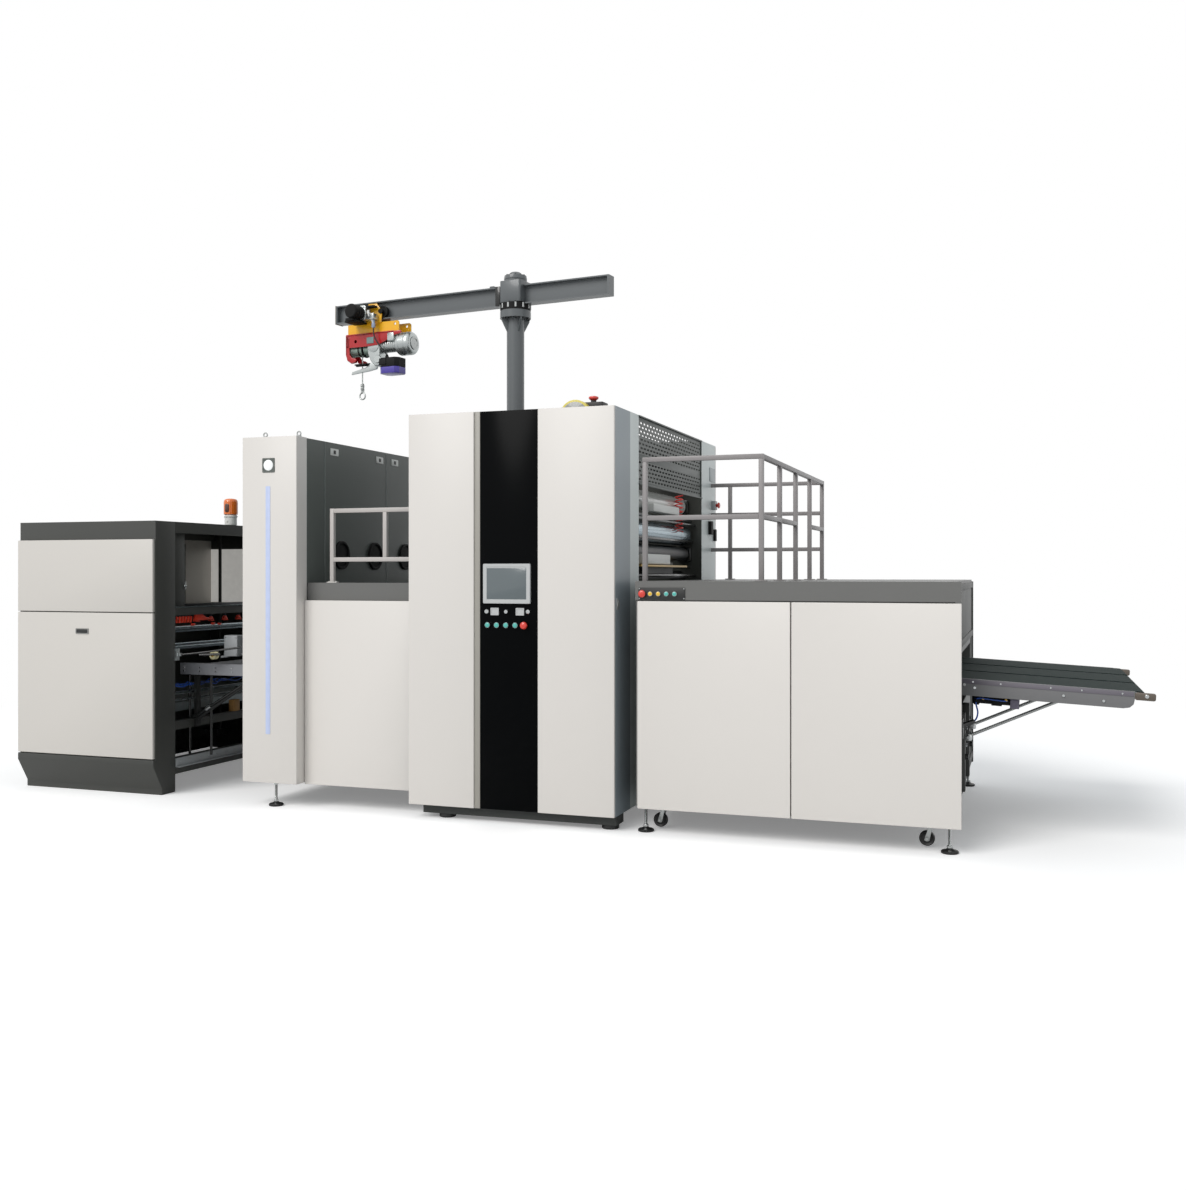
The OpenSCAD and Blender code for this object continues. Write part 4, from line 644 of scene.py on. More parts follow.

# Matt black, on rubber, and on painted parts in the shade, where the near-black is partly painted shade: it
# shows no more than a faint rim of light.
deep_black = coated("black rubber and black paint with painted shade, matt", "#090a0a", 0.65, shine=0.25)
port = lathe([(70, 2), (70, 10), (74, 14), (83, 14), (86, 12), (86, 0)], "x", sides=48)
port_face = lathe([(71, 0), (71, 6), (60, 7), (4, 7)], "x", sides=48)
port_places = [(WALL_X, LINE_MID + (k - 1.5) * 405, 1450) for k in range(4)]
piece("wall_ports", copies(port, port_places) + copies(port_face, port_places), deep_black)
eye_path = np.insert(12 * disc(1, 24), 1, 0, axis=1)
eye_places = [(x, y, 2124) for x in (-1466.5, -1241.5) for y in (-1018, 1048)]
piece("lifting_eyes", copies(lathe([(15, 0), (15, 5), (12, 8), (7, 9)], "z", sides=24), eye_places)
      + copies(sweep(disc(4, 10), eye_path, (0, 1, 0), True), [(x, y, z + 18) for x, y, z in eye_places]),
      zinc)
# Latch plates with their keyhole bosses, on the seams of the wall's service doors.
latches = [(-669, 2066), (-123, 2066), (76, 2066)]
piece("latch_plates", [slab((WALL_X, LINK[0]), about(y, 45), about(z, 21), "x", 4, 1) for y, z in latches],
      pale_plastic)
piece("latch_keys", [slab((-1219.8, -1217.5), about(y, 12), about(z, 11), "x", 3, 0.6) for y, z in latches],
      black_plastic)

# ---------------------------------------------------------------------------
# Link: a low U-shaped section between housing and tower, graphite grey outside and in, with one
# warm white panel on each side and a light grey rail of square tube on each edge.

# Graphite is a flat mid grey; the rails' enamel is light and warm, so that they stand out from the wall.
band_grey = coated("graphite powder coat, fine texture", "#676765", 0.42, depth_mm=0.08)
light_enamel = coated("light warm grey enamel, satin", "#bab5b1", 0.4)
finish_node("link_body", band_grey)
piece("link_covers", both([slab((LINK[0] + 2, LINK[1] - 2), (-1000, -965), (132, 1186), "y", 4, 3)]),
      warm_white, hides=["link_panels"])


def tube(x, y, z, axis):
    """Length of welded square tube: a slab whose long edges are rounded to 3 mm."""
    return slab(x, y, z, axis, 3, 0.5)


rail_y = about(-940, 12.5)
piece("link_side_rails", both([tube((-1080, -1055), rail_y, (1287, 1712), "z"),
                               tube((-738, -713), rail_y, (1432.5, 1687), "z"),
                               tube((-1055, LINK[1]), rail_y, (1407.5, 1432.5), "x"),
                               tube((-1055, LINK[1]), rail_y, (1687, 1712), "x")]),
      light_enamel, hides=["link_rails"])
piece("rail_feet", both([slab((-1100, -1035), about(-940, 16), (1287, 1292), "z", 3, 1)]
                        + bolts([(x, -940, 1292) for x in (-1091, -1044)], 5, 4, "z")), pale_enamel)

# ---------------------------------------------------------------------------
# Roller tower: two cabinets with a dark bay between them; on the operator's side a warm white door
# left and right of a strip of black glass, on the other two doors. Folded 2 mm steel, hidden hinges.

TOWER = (LINK[1], 684.5)  # its ends in X
TOP = 2209  # its roof
FRONT = -1077  # the glass's face on the operator's side, in Y
door_z = (78, TOP)

# Cabinet paint: satin, blue-grey in front and pale grey-green behind. The cabinets' faces towards the bay,
# each in a zone a millimetre deep, are painted dark: painted shade, where the bay's shade falls.
finish_node("tower_cabinets", zoned("grey-green cabinet paint, satin", [
    ((-1.066, -0.815), "#8b969c"), ((-0.6605, -0.6595), "#3a3c38"), ((0.7215, 0.7225), "#3a3c38")],
    "#d2dad8"))
piece("tower_doors", [slab(x, y, door_z, "z", 4, 3, 3) for x, y in (
    ((TOWER[0], -111.5), (-1085, -1065)), ((258.5, TOWER[1]), (-1085, -1065)),
    ((TOWER[0], 87.5), (1095, 1115)), ((93.5, TOWER[1]), (1095, 1115)))],
    warm_white, hides=["tower_panels"])
# Silver-grey powder coat: a shade darker than the doors, it edges the glass on one side.
piece("glass_trim", [slab((-111.5, -77.5), (FRONT, -1065), door_z, "z", 3, 1)],
      coated("silver-grey powder coat", "#9b9890", 0.38))
# Black float glass: deep and even. It mirrors the dark side of the hall, so its sheen is kept low.
black_glass = coated("black float glass, polished", "#060708", 0.2, speck_mm=900, depth_mm=0.0, cloud=0.3,
                     spread=0.04, shine=0.04)
piece("black_glass_strip", [slab((-77.5, 258.5), (FRONT, -1065), door_z, "z", 2, 1)], black_glass,
      hides=["glass_strip"])

# ---------------------------------------------------------------------------
# Operator panel: a touch screen in a moulded grey bezel, a row of switches and a row of
# lit push buttons with the emergency stop, all through-mounted in the glass.

# The bezel is an even light grey; the film over the screen is a matt grey with a soft sheen.
bezel_grey = coated("moulded light grey plastic", "#b9bbbb", 0.42, speck_mm=1.2, depth_mm=0.04)
screen_film = coated("matt screen film over black", "#5d6669", 0.16, speck_mm=900, depth_mm=0, coat=0.4)
piece("touch_bezel", [dish(rounded((1180, 1392), (-54.5, 217.5), 6),
                           [(-1088.5, 0.17), (-1091, 0.15), (-1091, 0.015), (-1089, 0), (FRONT, 0)], "y")],
      bezel_grey, hides=["operator_panel"])
piece("touch_screen", [slab((-34, 196), (-1089.5, -1086), (1203, 1369), corner=3, edge=0.5)], screen_film)

# Chromed rings, bright as mirrors, round polycarbonate lenses in strong plain colours.
teal = coated("teal button lens, lit", "#4fb3a9", 0.25, coat=0.5)
coral = coated("coral red mushroom cap", "#d93a2e", 0.3, coat=0.5)
yellow_lens = coated("yellow button lens", "#e3b834", 0.25, coat=0.5)
chrome = coated("bright chromed ring", "#c9cccc", 0.14, metallic=1.0, depth_mm=0.01)
button_places = [(-28.5 + 53.5 * k, FRONT, 1065) for k in range(5)]
ring = lathe([(13.2, -14), (13.6, -15.5), (14.6, -15.5), (15, -14), (15, 0)], "y", sides=28)
piece("button_rings", copies(ring, button_places[:4]), chrome)
lens_cap = lathe([(0.1, -18), (9, -17.8), (12.4, -16.5), (13.1, -14), (13.1, -6)], "y", sides=28)
piece("button_lenses", copies(lens_cap, button_places[:4]), teal)
piece("stop_button", [lathe([(0.1, -38), (9, -37.4), (16, -34.5), (19.5, -29), (20, -24), (18, -18),
                             (12, -16), (12, 0)], "y", button_places[4], 36)], coral)
switches = [(-36.5, [(8, -10), (10.5, -10), (12, -8), (12, 0)]),
            (201.5, [(0.1, -8), (8, -8), (11, -6), (11, 0)]),
            (81.5, [(9, -22), (10, -21), (11, -8), (12, -6), (12, 0)])]
piece("switch_bodies", [lathe(profile, "y", (x, FRONT, 1137), 24) for x, profile in switches],
      chrome)
piece("panel_sockets", [dish(rounded((1117, 1157), about(x, 24), 3),
                             [(-1079, 0.3), (-1081.5, 0.26), (-1082, 0.05), (-1080.5, 0), (FRONT, 0)], "y")
                        for x in (9.5, 155.5)], bezel_grey)
ROOF_STOP = (512.5, -916)  # X and Y of the emergency stop on the roof
piece("roof_switch_box", [slab((467.5, 579.5), (-961, -871), (TOP, TOP + 40), "z", 6, 3),
                          rod(TOP + 40, TOP + 53, 15, (*ROOF_STOP, 0), "z")],
      black_plastic)
piece("roof_stop", [lathe([(13, 53), (15, 54), (26, 62), (27, 68), (26, 72), (16, 76.4), (1, 77)], "z",
                          (*ROOF_STOP, TOP))], coral)


def arch(radius, rise, low, high, centre):
    """Disc that stands on the roof, cut off level with it.

    Its centre lies at rise above the roof, and its arc runs between the two angles a where radius
    sin a is -rise.
    """
    foot = math.asin(-rise / radius)
    a = np.linspace(foot, math.pi - foot, 41)
    points = np.stack([centre[0] + radius * np.cos(a), centre[1] + radius * np.sin(a)], -1)
    return flat(points, low, high, "y", 1.0)


# An air gauge half sunk in the roof: a pale yellow rim, and a grey dial under a glossy window.
GAUGE_RISE = -37
gauge_at = (441.5, TOP + GAUGE_RISE)
piece("air_gauge_rim", [arch(85, GAUGE_RISE, -1015, -965, gauge_at)],
      coated("yellow gauge rim", "#d9c95a", 0.4))
piece("air_gauge_face", [arch(74, GAUGE_RISE, -1017, -1010, gauge_at)],
      coated("grey gauge dial", "#8d8f8c", 0.3, coat=0.4))

# ---------------------------------------------------------------------------
# Inside the tower: film roll, ground steel roller, rubber roller and tray on black bearing
# blocks, with shafts, an air hose coil and a white unit between them; slotted guards close it.

def pierced(outline, hole, low, high, axis, rim=True):
    """Plate with a hole, from rays that leave the hole's middle through every corner of both outlines.

    Each ray meets each outline at a point, and the rings of these points, on both faces, are joined.
    Without its rim the plate can be tiled.
    """
    outline, hole = np.asarray(outline, float), np.asarray(hole, float)
    if axis == "y":
        outline, hole = outline[:, ::-1], hole[:, ::-1]
    middle = hole.mean(0)
    corners = np.concatenate([outline, hole]) - middle
    a = np.unique(np.round(np.arctan2(corners[:, 1], corners[:, 0]), 5))
    ray = np.stack([np.cos(a), np.sin(a)], -1)[:, None]

    def met(ring):
        start = (ring - middle)[None]
        side = np.roll(start, -1, 1) - start
        cross = ray[..., 0] * side[..., 1] - ray[..., 1] * side[..., 0]
        cross = np.where(np.abs(cross) < 1e-9, 1e-9, cross)
        t = (start[..., 0] * side[..., 1] - start[..., 1] * side[..., 0]) / cross
        s = (start[..., 0] * ray[..., 1] - start[..., 1] * ray[..., 0]) / cross
        t = np.where((s > -1e-4) & (s < 1 + 1e-4) & (t > 0), t, np.inf).min(1)
        return middle + ray[:, 0] * t[:, None]

    rings = [np.concatenate([met(r), np.full((len(a), 1), level)], 1)
             for r, level in ((outline, high), (hole, high), (hole, low), (outline, low))]
    points, quads, _ = skin(turned(np.stack(rings), axis), wrap=rim)
    return points, quads, []


# Guards: dark grey-green powder coat over rows of slots, 22 and 21 in turn, in two fields.
guard_green = coated("dark grey-green powder coat", "#424946", 0.42)
BAY = (-660, 722)  # the bay between the cabinets, in Y
PITCH_Y, PITCH_Z = 62, 23  # from slot to slot and from row to row
cell = pierced([(0, 0), (PITCH_Y, 0), (PITCH_Y, PITCH_Z), (0, PITCH_Z)], rounded((9, 53), (6, 17), 5, 1),
               0, 4, "x", rim=False)
slot_rows = [(z0 + PITCH_Z * row, row % 2) for z0, rows in ((2000, 8), (1850, 5)) for row in range(rows)]
for tag, x in (("left", -497.5), ("right", 674.5)):
    shapes = []
    for z, odd in slot_rows:
        first, count = (-620, 21) if odd else (-651, 22)
        last = first + PITCH_Y * count
        shapes += copies(cell, [(x, first + PITCH_Y * k, z) for k in range(count)])
        shapes += [slab((x, x + 4), y, (z, z + PITCH_Z), "x", 0.3, 0.2, 1)
                   for y in ((BAY[0], first), (last, BAY[1]))]
    shapes += [slab((x, x + 4), BAY, z, "x", 0.3, 0.2, 1)
               for z in ((1835, 1850), (1965, 2000), (2184, TOP))]
    shapes += [slab((x + 2, x + 16), BAY, (z, z + 8), "x", 1, 0.5) for z in (1829, TOP - 8)]
    piece("slotted_guard_" + tag, shapes, guard_green, hides=["tower_guards"])

# Structural paint is dull and nearly black; the ground roller is bright with a fine even grain, the
# rubber one is smooth and dark, and the wound film is milky with a wet gloss.
rubber = coated("smooth black roller rubber", "#1b1c1c", 0.4, cloud=0.1, depth_mm=0.02)
finish_node("tower_frame", coated("dark grey structural paint", "#2c2f2d", 0.5))
finish_node("steel_roller", brushed("ground steel roller", "#9fb0b9", 0.22, "y", grain_mm=1.5, streak_mm=3))
finish_node("rubber_roller", rubber)
finish_node("film_roll", coated("wound clear film, glossy", "#cfd0cc", 0.2, depth_mm=0.01, coat=0.5))
ROLLERS = ((554.5, 1772), (564.5, 1586), (574.5, 1464))
bearings = [slab(about(x, 46), y, about(z, 46), "y", 10, 3) for x, z in ROLLERS
            for y in ((-658, -618), (682, 720))]
cross_rods = ((470, 1690, 16), (610, 1680, 10), (500, 1510, 14), (600, 1380, 9), (470, 1350, 20),
              (640, 1655, 7))
cross_bars = ((600, 1540), (520, 1345), (620, 1322))
piece("bearing_blocks", bearings + [rod(*BAY, radius, (x, 0, z), "y") for x, z, radius in cross_rods]
      + [slab((x, x + 30), (-655, 720), (z, z + 14), "y", 3, 1) for x, z in cross_bars],
      black_gloss)
piece("bearing_bolts", bolts([(x + dx, -618, z + dz) for x, z in ROLLERS for dx in (-34, 34)
                              for dz in (-34, 34)], 6, 5, "y")
      + [rod(-600, -560, 22, (620, 0, 1812), "y"), rod(-590, -500, 12, (640, 0, 1760), "y")],
      zinc)
# Polyurethane coil: twelve points to a turn, nine turns, in a clear glossy red.
COIL_TURNS = 9
step = np.arange(COIL_TURNS * 12 + 1)
coil = np.stack([640 + 24 * np.cos(step * math.pi / 6), 330 + 24 * np.sin(step * math.pi / 6),
                 1600 + step * 2.1], -1)
piece("red_air_coil", [sweep(disc(4, 8), coil)],
      coated("red polyurethane air coil", "#d42a22", 0.3, coat=0.3))
piece("white_unit", [slab((560, 660), (-420, 60), (1395, 1452), "x", 5, 3),
                     slab((600, 664), (-300, 250), (1700, 1745), "x", 5, 3)], pale_plastic)
# Gold anodising: a warm metal line across the dark bay.
piece("gold_bar", [slab((560, 668), (-560, 420), (1378, 1390), "x", 2, 1)],
      coated("gold anodised bar", "#a68a4c", 0.35, metallic=0.8))

# On the cabinets' outer side: a steel plate, two boxes, an emergency stop and a lock.
SIDE = TOWER[1]
piece("cabinet_side_plate", [slab((SIDE, 688), (935, 1080), (1957, 2052), "x", 4, 1)], steel_sheet)
piece("rear_side_box", [slab((SIDE, 706), (900, 960), (1600, 1690), "x", 5, 2),
                        slab((SIDE, 700), (1040, 1080), (1560, 1640), "x", 4, 2)],
      deep_black)
piece("rear_side_stop", [slab((SIDE, 712), (985, 1045), (1770, 1830), "x", 5, 2)], grey_pale)
piece("rear_stop_cap", [lathe([(10, 0), (12, 8), (20, 14), (20, 20), (14, 25), (1, 26)], "x",
                              (712, 1015, 1800))], coral)
piece("side_lock", [rod(SIDE, 692, 16, (0, -1030, 1180), "x"),
                    slab((SIDE, 690), (-1052, -1030), (1150, 1210), "x", 5, 1)], zinc)

# ---------------------------------------------------------------------------
# Jib: a steel column through the tower's roof, with a slewing hub and two lengths of I-beam
# bolted to it. Grey machinery enamel over mill-finished steel; black bolts.

# Machinery enamel: mid grey with a little gloss, sprayed on thickly, so its orange peel is coarse.
jib_grey = coated("grey machinery enamel, satin", "#5f6365", 0.32, speck_mm=4, depth_mm=0.08, coat=0.15)
finish_node("jib_column", jib_grey)
finish_node("jib_beam", jib_grey)


def around(radius, z, centre=(0, 0)):
    """Twelve places on a circle at a height: centre + radius (cos a, sin a) for equal steps of a."""
    return [(centre[0] + radius * math.cos(a), centre[1] + radius * math.sin(a), z)
            for a in np.arange(12) * math.pi / 6]


piece("column_bolts", bolts(around(84, 2976, JIB), 8, 7, "z") + bolts(around(84, 2938, JIB), 8, -8, "z")
      + bolts(around(84, 2210, JIB), 9, 8, "z"), black_gloss)
piece("jib_hub", on_jib([
    slab((-74, 74), (-74, 74), (3032, 3168), "z", 14, 3, 3),
    lathe([(72, 3168), (72, 3172), (69, 3174), (69, 3180), (72, 3182), (72, 3192), (69, 3206)], "z",
          sides=64)]),
    jib_grey, body="jib")
piece("slewing_ring", on_jib([lathe([(94, 2984), (96, 2985), (96, 3028), (84, 3031)], "z", sides=64)]),
      deep_black, body="jib")
piece("ring_studs", on_jib([rod(2996, 3026, 8, place, "z", 1, 12) for place in around(91, 0)]), zinc,
      body="jib")
hub_bolts = bolts(around(60, 3206), 6, 5, "z") + bolts(around(82, 3030), 7, 6, "z")
splice = [(y, z) for y in (-30, 30) for z in (3036, 3066, 3096, 3126)]
splice_bolts = (bolts([(-116, *p) for p in splice], 7, -10, "x")
                + bolts([(-92, *p) for p in splice], 7, 8, "x"))
piece("hub_bolts", on_jib(hub_bolts + splice_bolts
                          + [slab((-176, -146), (-16, 16), (3141, 3152), "z", 3, 1),
                             slab((-120, -88), (-46, 46), (3019, 3143), "x", 2, 1)]),
      black_gloss, body="jib")
# Bare cut plate, browned by the torch: a warm dull end to the grey beam.
piece("beam_end_plate", on_jib([slab((-1373, -1369.5), (-40, 40), (3018, 3144), "x", 2, 1)]),
      coated("cut steel plate, browned", "#8a8377", 0.5, cloud=0.2, cloud_mm=40), body="jib")
piece("beam_seams", on_jib([sweep(disc(2.5, 8), [(start, y, z), (end, y, z)])
                            for start, end in ((-1356, -122), (76, 651))
                            for y, z in ((-4, 3030), (4, 3030), (-4, 3132), (4, 3132))]),
      jib_grey, body="jib")

# ---------------------------------------------------------------------------
# Trolley: two yellow cheek plates with flanged black wheels on the beam's lower flange, a yellow
# yoke below, and the travel motor with its gearbox on the operator's side. Laser-cut 8 mm plate.

# Sprayed yellow enamel under a clear coat: strong and glossy.
yellow_enamel = coated("yellow enamel, gloss", "#f2b41a", 0.3, coat=0.3)
cheek = [(-1112, 2996), (-988, 2996), (-980, 3068), (-1022, 3123), (-1086, 3125), (-1120, 3068)]
yoke_near = pierced([(-1260, 2934), (-851, 2934), (-851, 2990), (-861, 3000), (-1260, 3000)],
                    disc(9, 20) + [-882, 2980], -47, -39, "y")
yoke_far = pierced([(-1260, 2934), (-816, 2934), (-816, 2984), (-826, 2994), (-1260, 2994)],
                   disc(9, 20) + [-848, 2973], 39, 47, "y")
piece("trolley_plates", on_jib([flat(cheek, y, y + 8, "y", 1.5) for y in (-55, 47)] + [
    yoke_near, yoke_far, slab((-1258, -900), (-39, 39), (2936, 2944), "z", 2, 1),
    slab((-1258, -1250), (-39, 39), (2944, 2998), "z", 2, 1)]),
    yellow_enamel, body="hoist", hides=["trolley"])
wheel = [(14, 15), (36, 15), (38, 17), (38, 32), (40, 33), (40, 40), (34, 42), (30, 38), (12, 38), (12, 47)]
wheel_places = [(r, 0, 3069.3) for r in (-1113, -987)]
wheels = [lathe(profile, "y", place) for profile in (wheel, [(r, -h) for r, h in wheel[::-1]])
          for place in wheel_places]
hub_caps = [rod(55, 64, 17, place, "y") for place in wheel_places]
hub_caps += [rod(-64, -55, 17, wheel_places[1], "y")]
TRAVEL_MOTOR = (-1120, 0, 3056)
motor = lathe([(20, -212), (40, -211), (46, -206), (48, -198), (48, -180), (44, -178), (44, -172),
               (48, -170), (48, -150), (44, -148), (44, -142), (48, -140), (48, -124), (46, -115)],
              "y", TRAVEL_MOTOR, 40)
brackets = [slab((-1196, -1097), (-172, -58), (2990, 3004), "z", 4, 2),
            slab((-1168, -1110), (-200, -150), (2996, 3012), "z", 4, 2),
            slab((-1092, -1010), (-104, -60), (3092, 3104), "y", 3, 1)]
piece("travel_motor", on_jib(wheels + hub_caps + [motor] + brackets), deep_black,
      body="hoist")
# Die-cast aluminium: light and satin, its grain coarse enough to sparkle.
cast_alu = coated("die-cast aluminium", "#bdc2c1", 0.28, metallic=0.85, speck_mm=2, depth_mm=0.1)
piece("travel_gearbox", on_jib([
    slab((-1175, -1068), (-115, -57), (3008, 3106), "y", 16, 4, 3),
    rod(-124, -115, 38, TRAVEL_MOTOR, "y", 3),
    *bolts([(r, -115, z) for r in (-1164, -1080) for z in (3020, 3094)], 6, -5, "y"),
    slab((-1066, -1006), (-113, -57), (3010, 3050), "y", 6, 2)]), cast_alu, body="hoist")
elbow = fine([(-1058, -96, 3070), (-1052, -104, 3052), (-1040, -104, 3028), (-1028, -96, 3008),
              (-1022, -90, 2990)])
piece("terminal_elbow", on_jib([sweep(disc(9, 16), elbow)]), pale_plastic, body="hoist")
# Nylon plug: a dull pale blue.
plug = lathe([(6, 2955), (11, 2957), (13, 2964), (13, 2984), (10, 2990), (10, 3010)], "z",
             (-1022, -90, 0), 16)
piece("terminal_plug", on_jib([plug]),
      coated("blue-grey nylon plug", "#93a3bd", 0.35), body="hoist")

# ---------------------------------------------------------------------------
# Hoist: a red folded frame that carries the grooved rope drum, the cast gearbox and the round
# motor; below them the control box, the limiter bar and its arm. The rope ends in a ring.

# Gloss red enamel over steel: sprayed, with a thin clear top coat that sharpens its highlights.
red_enamel = coated("red enamel, gloss", "#b31119", 0.28, speck_mm=3, depth_mm=0.04, coat=0.4)
NEAR_PLATE, FAR_PLATE = (-62, -54), (54, 62)  # the frame's side plates, across the beam
end_hook = [(-62, 2920), (62, 2920), (62, 2800), (46, 2764), (0, 2750), (-46, 2764), (-62, 2800)]
hook_side = [(-1268, 2920), (-1268, 2800), (-1256, 2764), (-1226, 2744), (-1196, 2746), (-1180, 2762),
             (-1196, 2772), (-1222, 2778), (-1238, 2800), (-1240, 2845), (-1236, 2920)]
side_head = pierced([(-1268, 2845), (-1100, 2845), (-1100, 2930), (-1268, 2930)],
                    disc(11, 20) + [-1188, 2884], *NEAR_PLATE, "y")
tail_edge = [(-1002, 2849), (-871, 2906), (-826, 2912), (-826, 2930)]
piece("hoist_red_frame", on_jib([
    slab((-1268, -880), (-62, 62), (2920, 2934), "y", 4, 2), flat(end_hook, -1268, -1256, "x", 2), side_head,
    flat([(-1100, 2845), *tail_edge, (-1100, 2930)], *NEAR_PLATE, "y", 1),
    flat(hook_side, *NEAR_PLATE, "y", 1), flat(hook_side, *FAR_PLATE, "y", 1),
    flat([(-1268, 2845), *tail_edge, (-1268, 2930)], *FAR_PLATE, "y", 1)]),
    red_enamel, body="hoist", hides=["hoist_frame"])
# Galvanised steel, a little green from its grease: dull, with a dark line in every groove.
DRUM, DRIVE = (0, 0, 2834), (0, 0, 2850)  # on the axes of the rope drum and of the motor
grooves = [(39.5 if k % 2 else 42, -1250 + 5 * k) for k in range(30)]
piece("rope_drum", on_jib([lathe([(30, -1254)] + grooves + [(50, -1098), (50, -1094)], "x", DRUM, 40)]),
      coated("greenish galvanised steel", "#9fb0a6", 0.34, metallic=0.7), body="hoist")
piece("drum_divider", on_jib([rod(-1152, -1144, 52, DRUM, "x", 1, 40), rod(-1184, -1178, 48, DRUM, "x")]),
      deep_black, body="hoist")
gear_case = [(-1100, 2920), (-1004, 2920), (-1004, 2722), (-1014, 2712), (-1040, 2712), (-1076, 2748),
             (-1100, 2800)]
fins = [(48 if k % 2 else 45, -1000 + 8 * k) for k in range(15)]
motor_case = [(50, -1004)] + fins + [
    (50, -880), (66, -874), (73, -868), (76, -860), (76, -846), (73, -844), (73, -838), (76, -836),
    (76, -806), (72, -802), (72, -794), (76, -792), (75, -780), (68, -770), (56, -764), (30, -763)]
limiter = [(-1263, 2676), (-1256, 2694), (-1150, 2716), (-1064, 2768), (-1040, 2740), (-1060, 2700),
           (-1120, 2690)]
piece("hoist_gear_motor", on_jib([
    flat(gear_case, -50, 50, "y", 8, 3), lathe(motor_case, "x", DRIVE, 56),
    lathe([(24, -64), (26, -62), (26, -50)], "y", (-1013, 0, 2756)),
    lathe([(40, -56), (44, -54), (44, -48)], "y", (-1052, 0, 2850)),
    slab((-930, -880), (-66, -30), (2868, 2920), "y", 6, 2), flat(limiter, -8, 8, "y", 2),
    slab((-1008, -998), (-40, 40), (2712, 2742), "y", 3, 1)]),
    cast_alu, body="hoist", hides=["hoist_drive"])
cap_ring = lathe([(26, -765), (44, -762), (44, -757), (30, -755), (26, -758)], "x", DRIVE, 40)
piece("motor_cap_ring", on_jib([cap_ring, rod(-764, -757, 9, DRIVE, "x")]), zinc, body="hoist")
BOX_X, BOX_Y = (-1000, -850), (-68, 52)  # the control box, along and across the beam
piece("control_box_lid", on_jib([
    slab(BOX_X, BOX_Y, (2699, 2760), "z", 24, 3, 1), slab((-992, -938), (-72, -50), (2712, 2756), "y", 4, 2),
    lathe([(12, 2760), (12, 2768), (9, 2770), (9, 2776), (5, 2779)], "z", (-936.5, -58.6, 0), 16),
    slab((-1227, -1112), (-9, 9), (2727, 2745), "x", 4, 2),
    slab((-1222, -1130), (-30, -9), (2732, 2740), "x", 3, 1)]), deep_black, body="hoist")
# Moulded plastics in their own colours: satin, with a faint grain.
piece("control_box", on_jib([slab(BOX_X, BOX_Y, (2656, 2699), "z", 24, 3, 1)]),
      coated("violet-blue moulded box", "#4a3d9e", 0.36, coat=0.2), body="hoist")
piece("frame_socket", on_jib([slab((-1096, -1040), (-66, -60), (2862, 2904), "y", 4, 2)]),
      coated("grey-green moulded socket", "#7d9593", 0.4), body="hoist")
# Wire rope: its section, with a lobe for each of six strands, turns nine times on its way down, and
# two windings hold its end above the ring. Galvanised wire shows as fine bright twists.
TURNS, STEPS = 9, 90
turn = np.linspace(0, TURNS * 2 * math.pi, STEPS)[:, None]
lobed = disc(1, 18) * (4 + 0.5 * np.cos(6 * np.arange(18) * math.pi / 9))[:, None]
u, v = lobed.T
strand = np.stack([-ROPE + u * np.cos(turn) - v * np.sin(turn), u * np.sin(turn) + v * np.cos(turn),
                   np.broadcast_to(np.linspace(2596, 2794, STEPS)[:, None], (STEPS, 18))], -1)
RING_Z = 2528
bend = np.arange(32) * math.pi / 16
ring_path = np.stack([-ROPE + 22 * np.cos(bend), np.zeros(32), RING_Z + 22 * np.sin(bend)], -1)
twist = np.linspace(0, 4 * math.pi, 30)
knots = [np.stack([-ROPE + 9 * np.cos(twist), 9 * np.sin(twist), z + 3 * twist / 2], -1)
         for z in (2566, 2588)]
piece("hoist_rope_ring", on_jib([
    skin(strand), sweep(disc(5, 12), ring_path, (0, 1, 0), True), rod(2548, 2612, 7, (-ROPE, 0, 0), "z"),
    *[sweep(disc(5, 12), path) for path in knots],
    lathe([(8, 2546), (12, 2550), (12, 2560), (8, 2564)], "z", (-ROPE, 0, 0))]),
    coated("galvanised wire rope", "#b9bdbb", 0.3, metallic=0.8, speck_mm=2),
    body="hoist", hides=["hoist_hook"])

# ---------------------------------------------------------------------------
# Delivery: a long low cabinet, graphite grey, with warm white covers and a band along its top
# that carries a key plate; folded 2 mm steel on a tube frame.

finish_node("delivery_body", band_grey)
covers = [slab(x, (-1065, -1040), (132, 1198), corner=4, edge=3, steps=3)
          for x in ((802.5, 1590.5), (1596.5, 2400.5), (1596.5, DELIVERY_END))]
piece("delivery_covers", covers[:2] + [mirrored(covers[0]), mirrored(covers[2])], warm_white,
      hides=["delivery_panels"])
KEY_FACE = -1059  # the key plate's face in Y
key_places = [(828.5 + 43 * k, KEY_FACE, 1236) for k in range(5)]
piece("key_plate", [slab((806.5, 1054.5), (KEY_FACE, -1055), (1206, 1268), corner=4, edge=1)]
      + copies(lathe([(12.4, -5), (13, -4), (13, 0)], "y"), key_places[1:]),
      black_plastic, hides=["delivery_controls"])
piece("key_rings", copies(lathe([(10.5, -8), (12, -8), (13, -6), (13, -4)], "y"), key_places[1:])
      + bolts([(x, KEY_FACE, z) for x in (812, 1049) for z in (1212, 1262)], 3, -2, "y", 12), chrome)
piece("key_stop", [lathe([(0.1, -20), (9, -19.4), (16, -17), (19, -13), (18, -7), (12, -5), (12, 0)], "y",
                         key_places[0], 36)], coral)
key = lathe([(0.1, -12), (8, -11.6), (10.4, -10), (10.6, -6)], "y")
piece("keys_yellow", copies(key, key_places[1:3]), yellow_lens)
piece("keys_teal", copies(key, key_places[3:]), teal)

# ---------------------------------------------------------------------------
# Guard rail: welded square tube on the delivery's roof, purplish grey; the third bay of its end
# has no middle rail, and the rear rails run on to the tower.

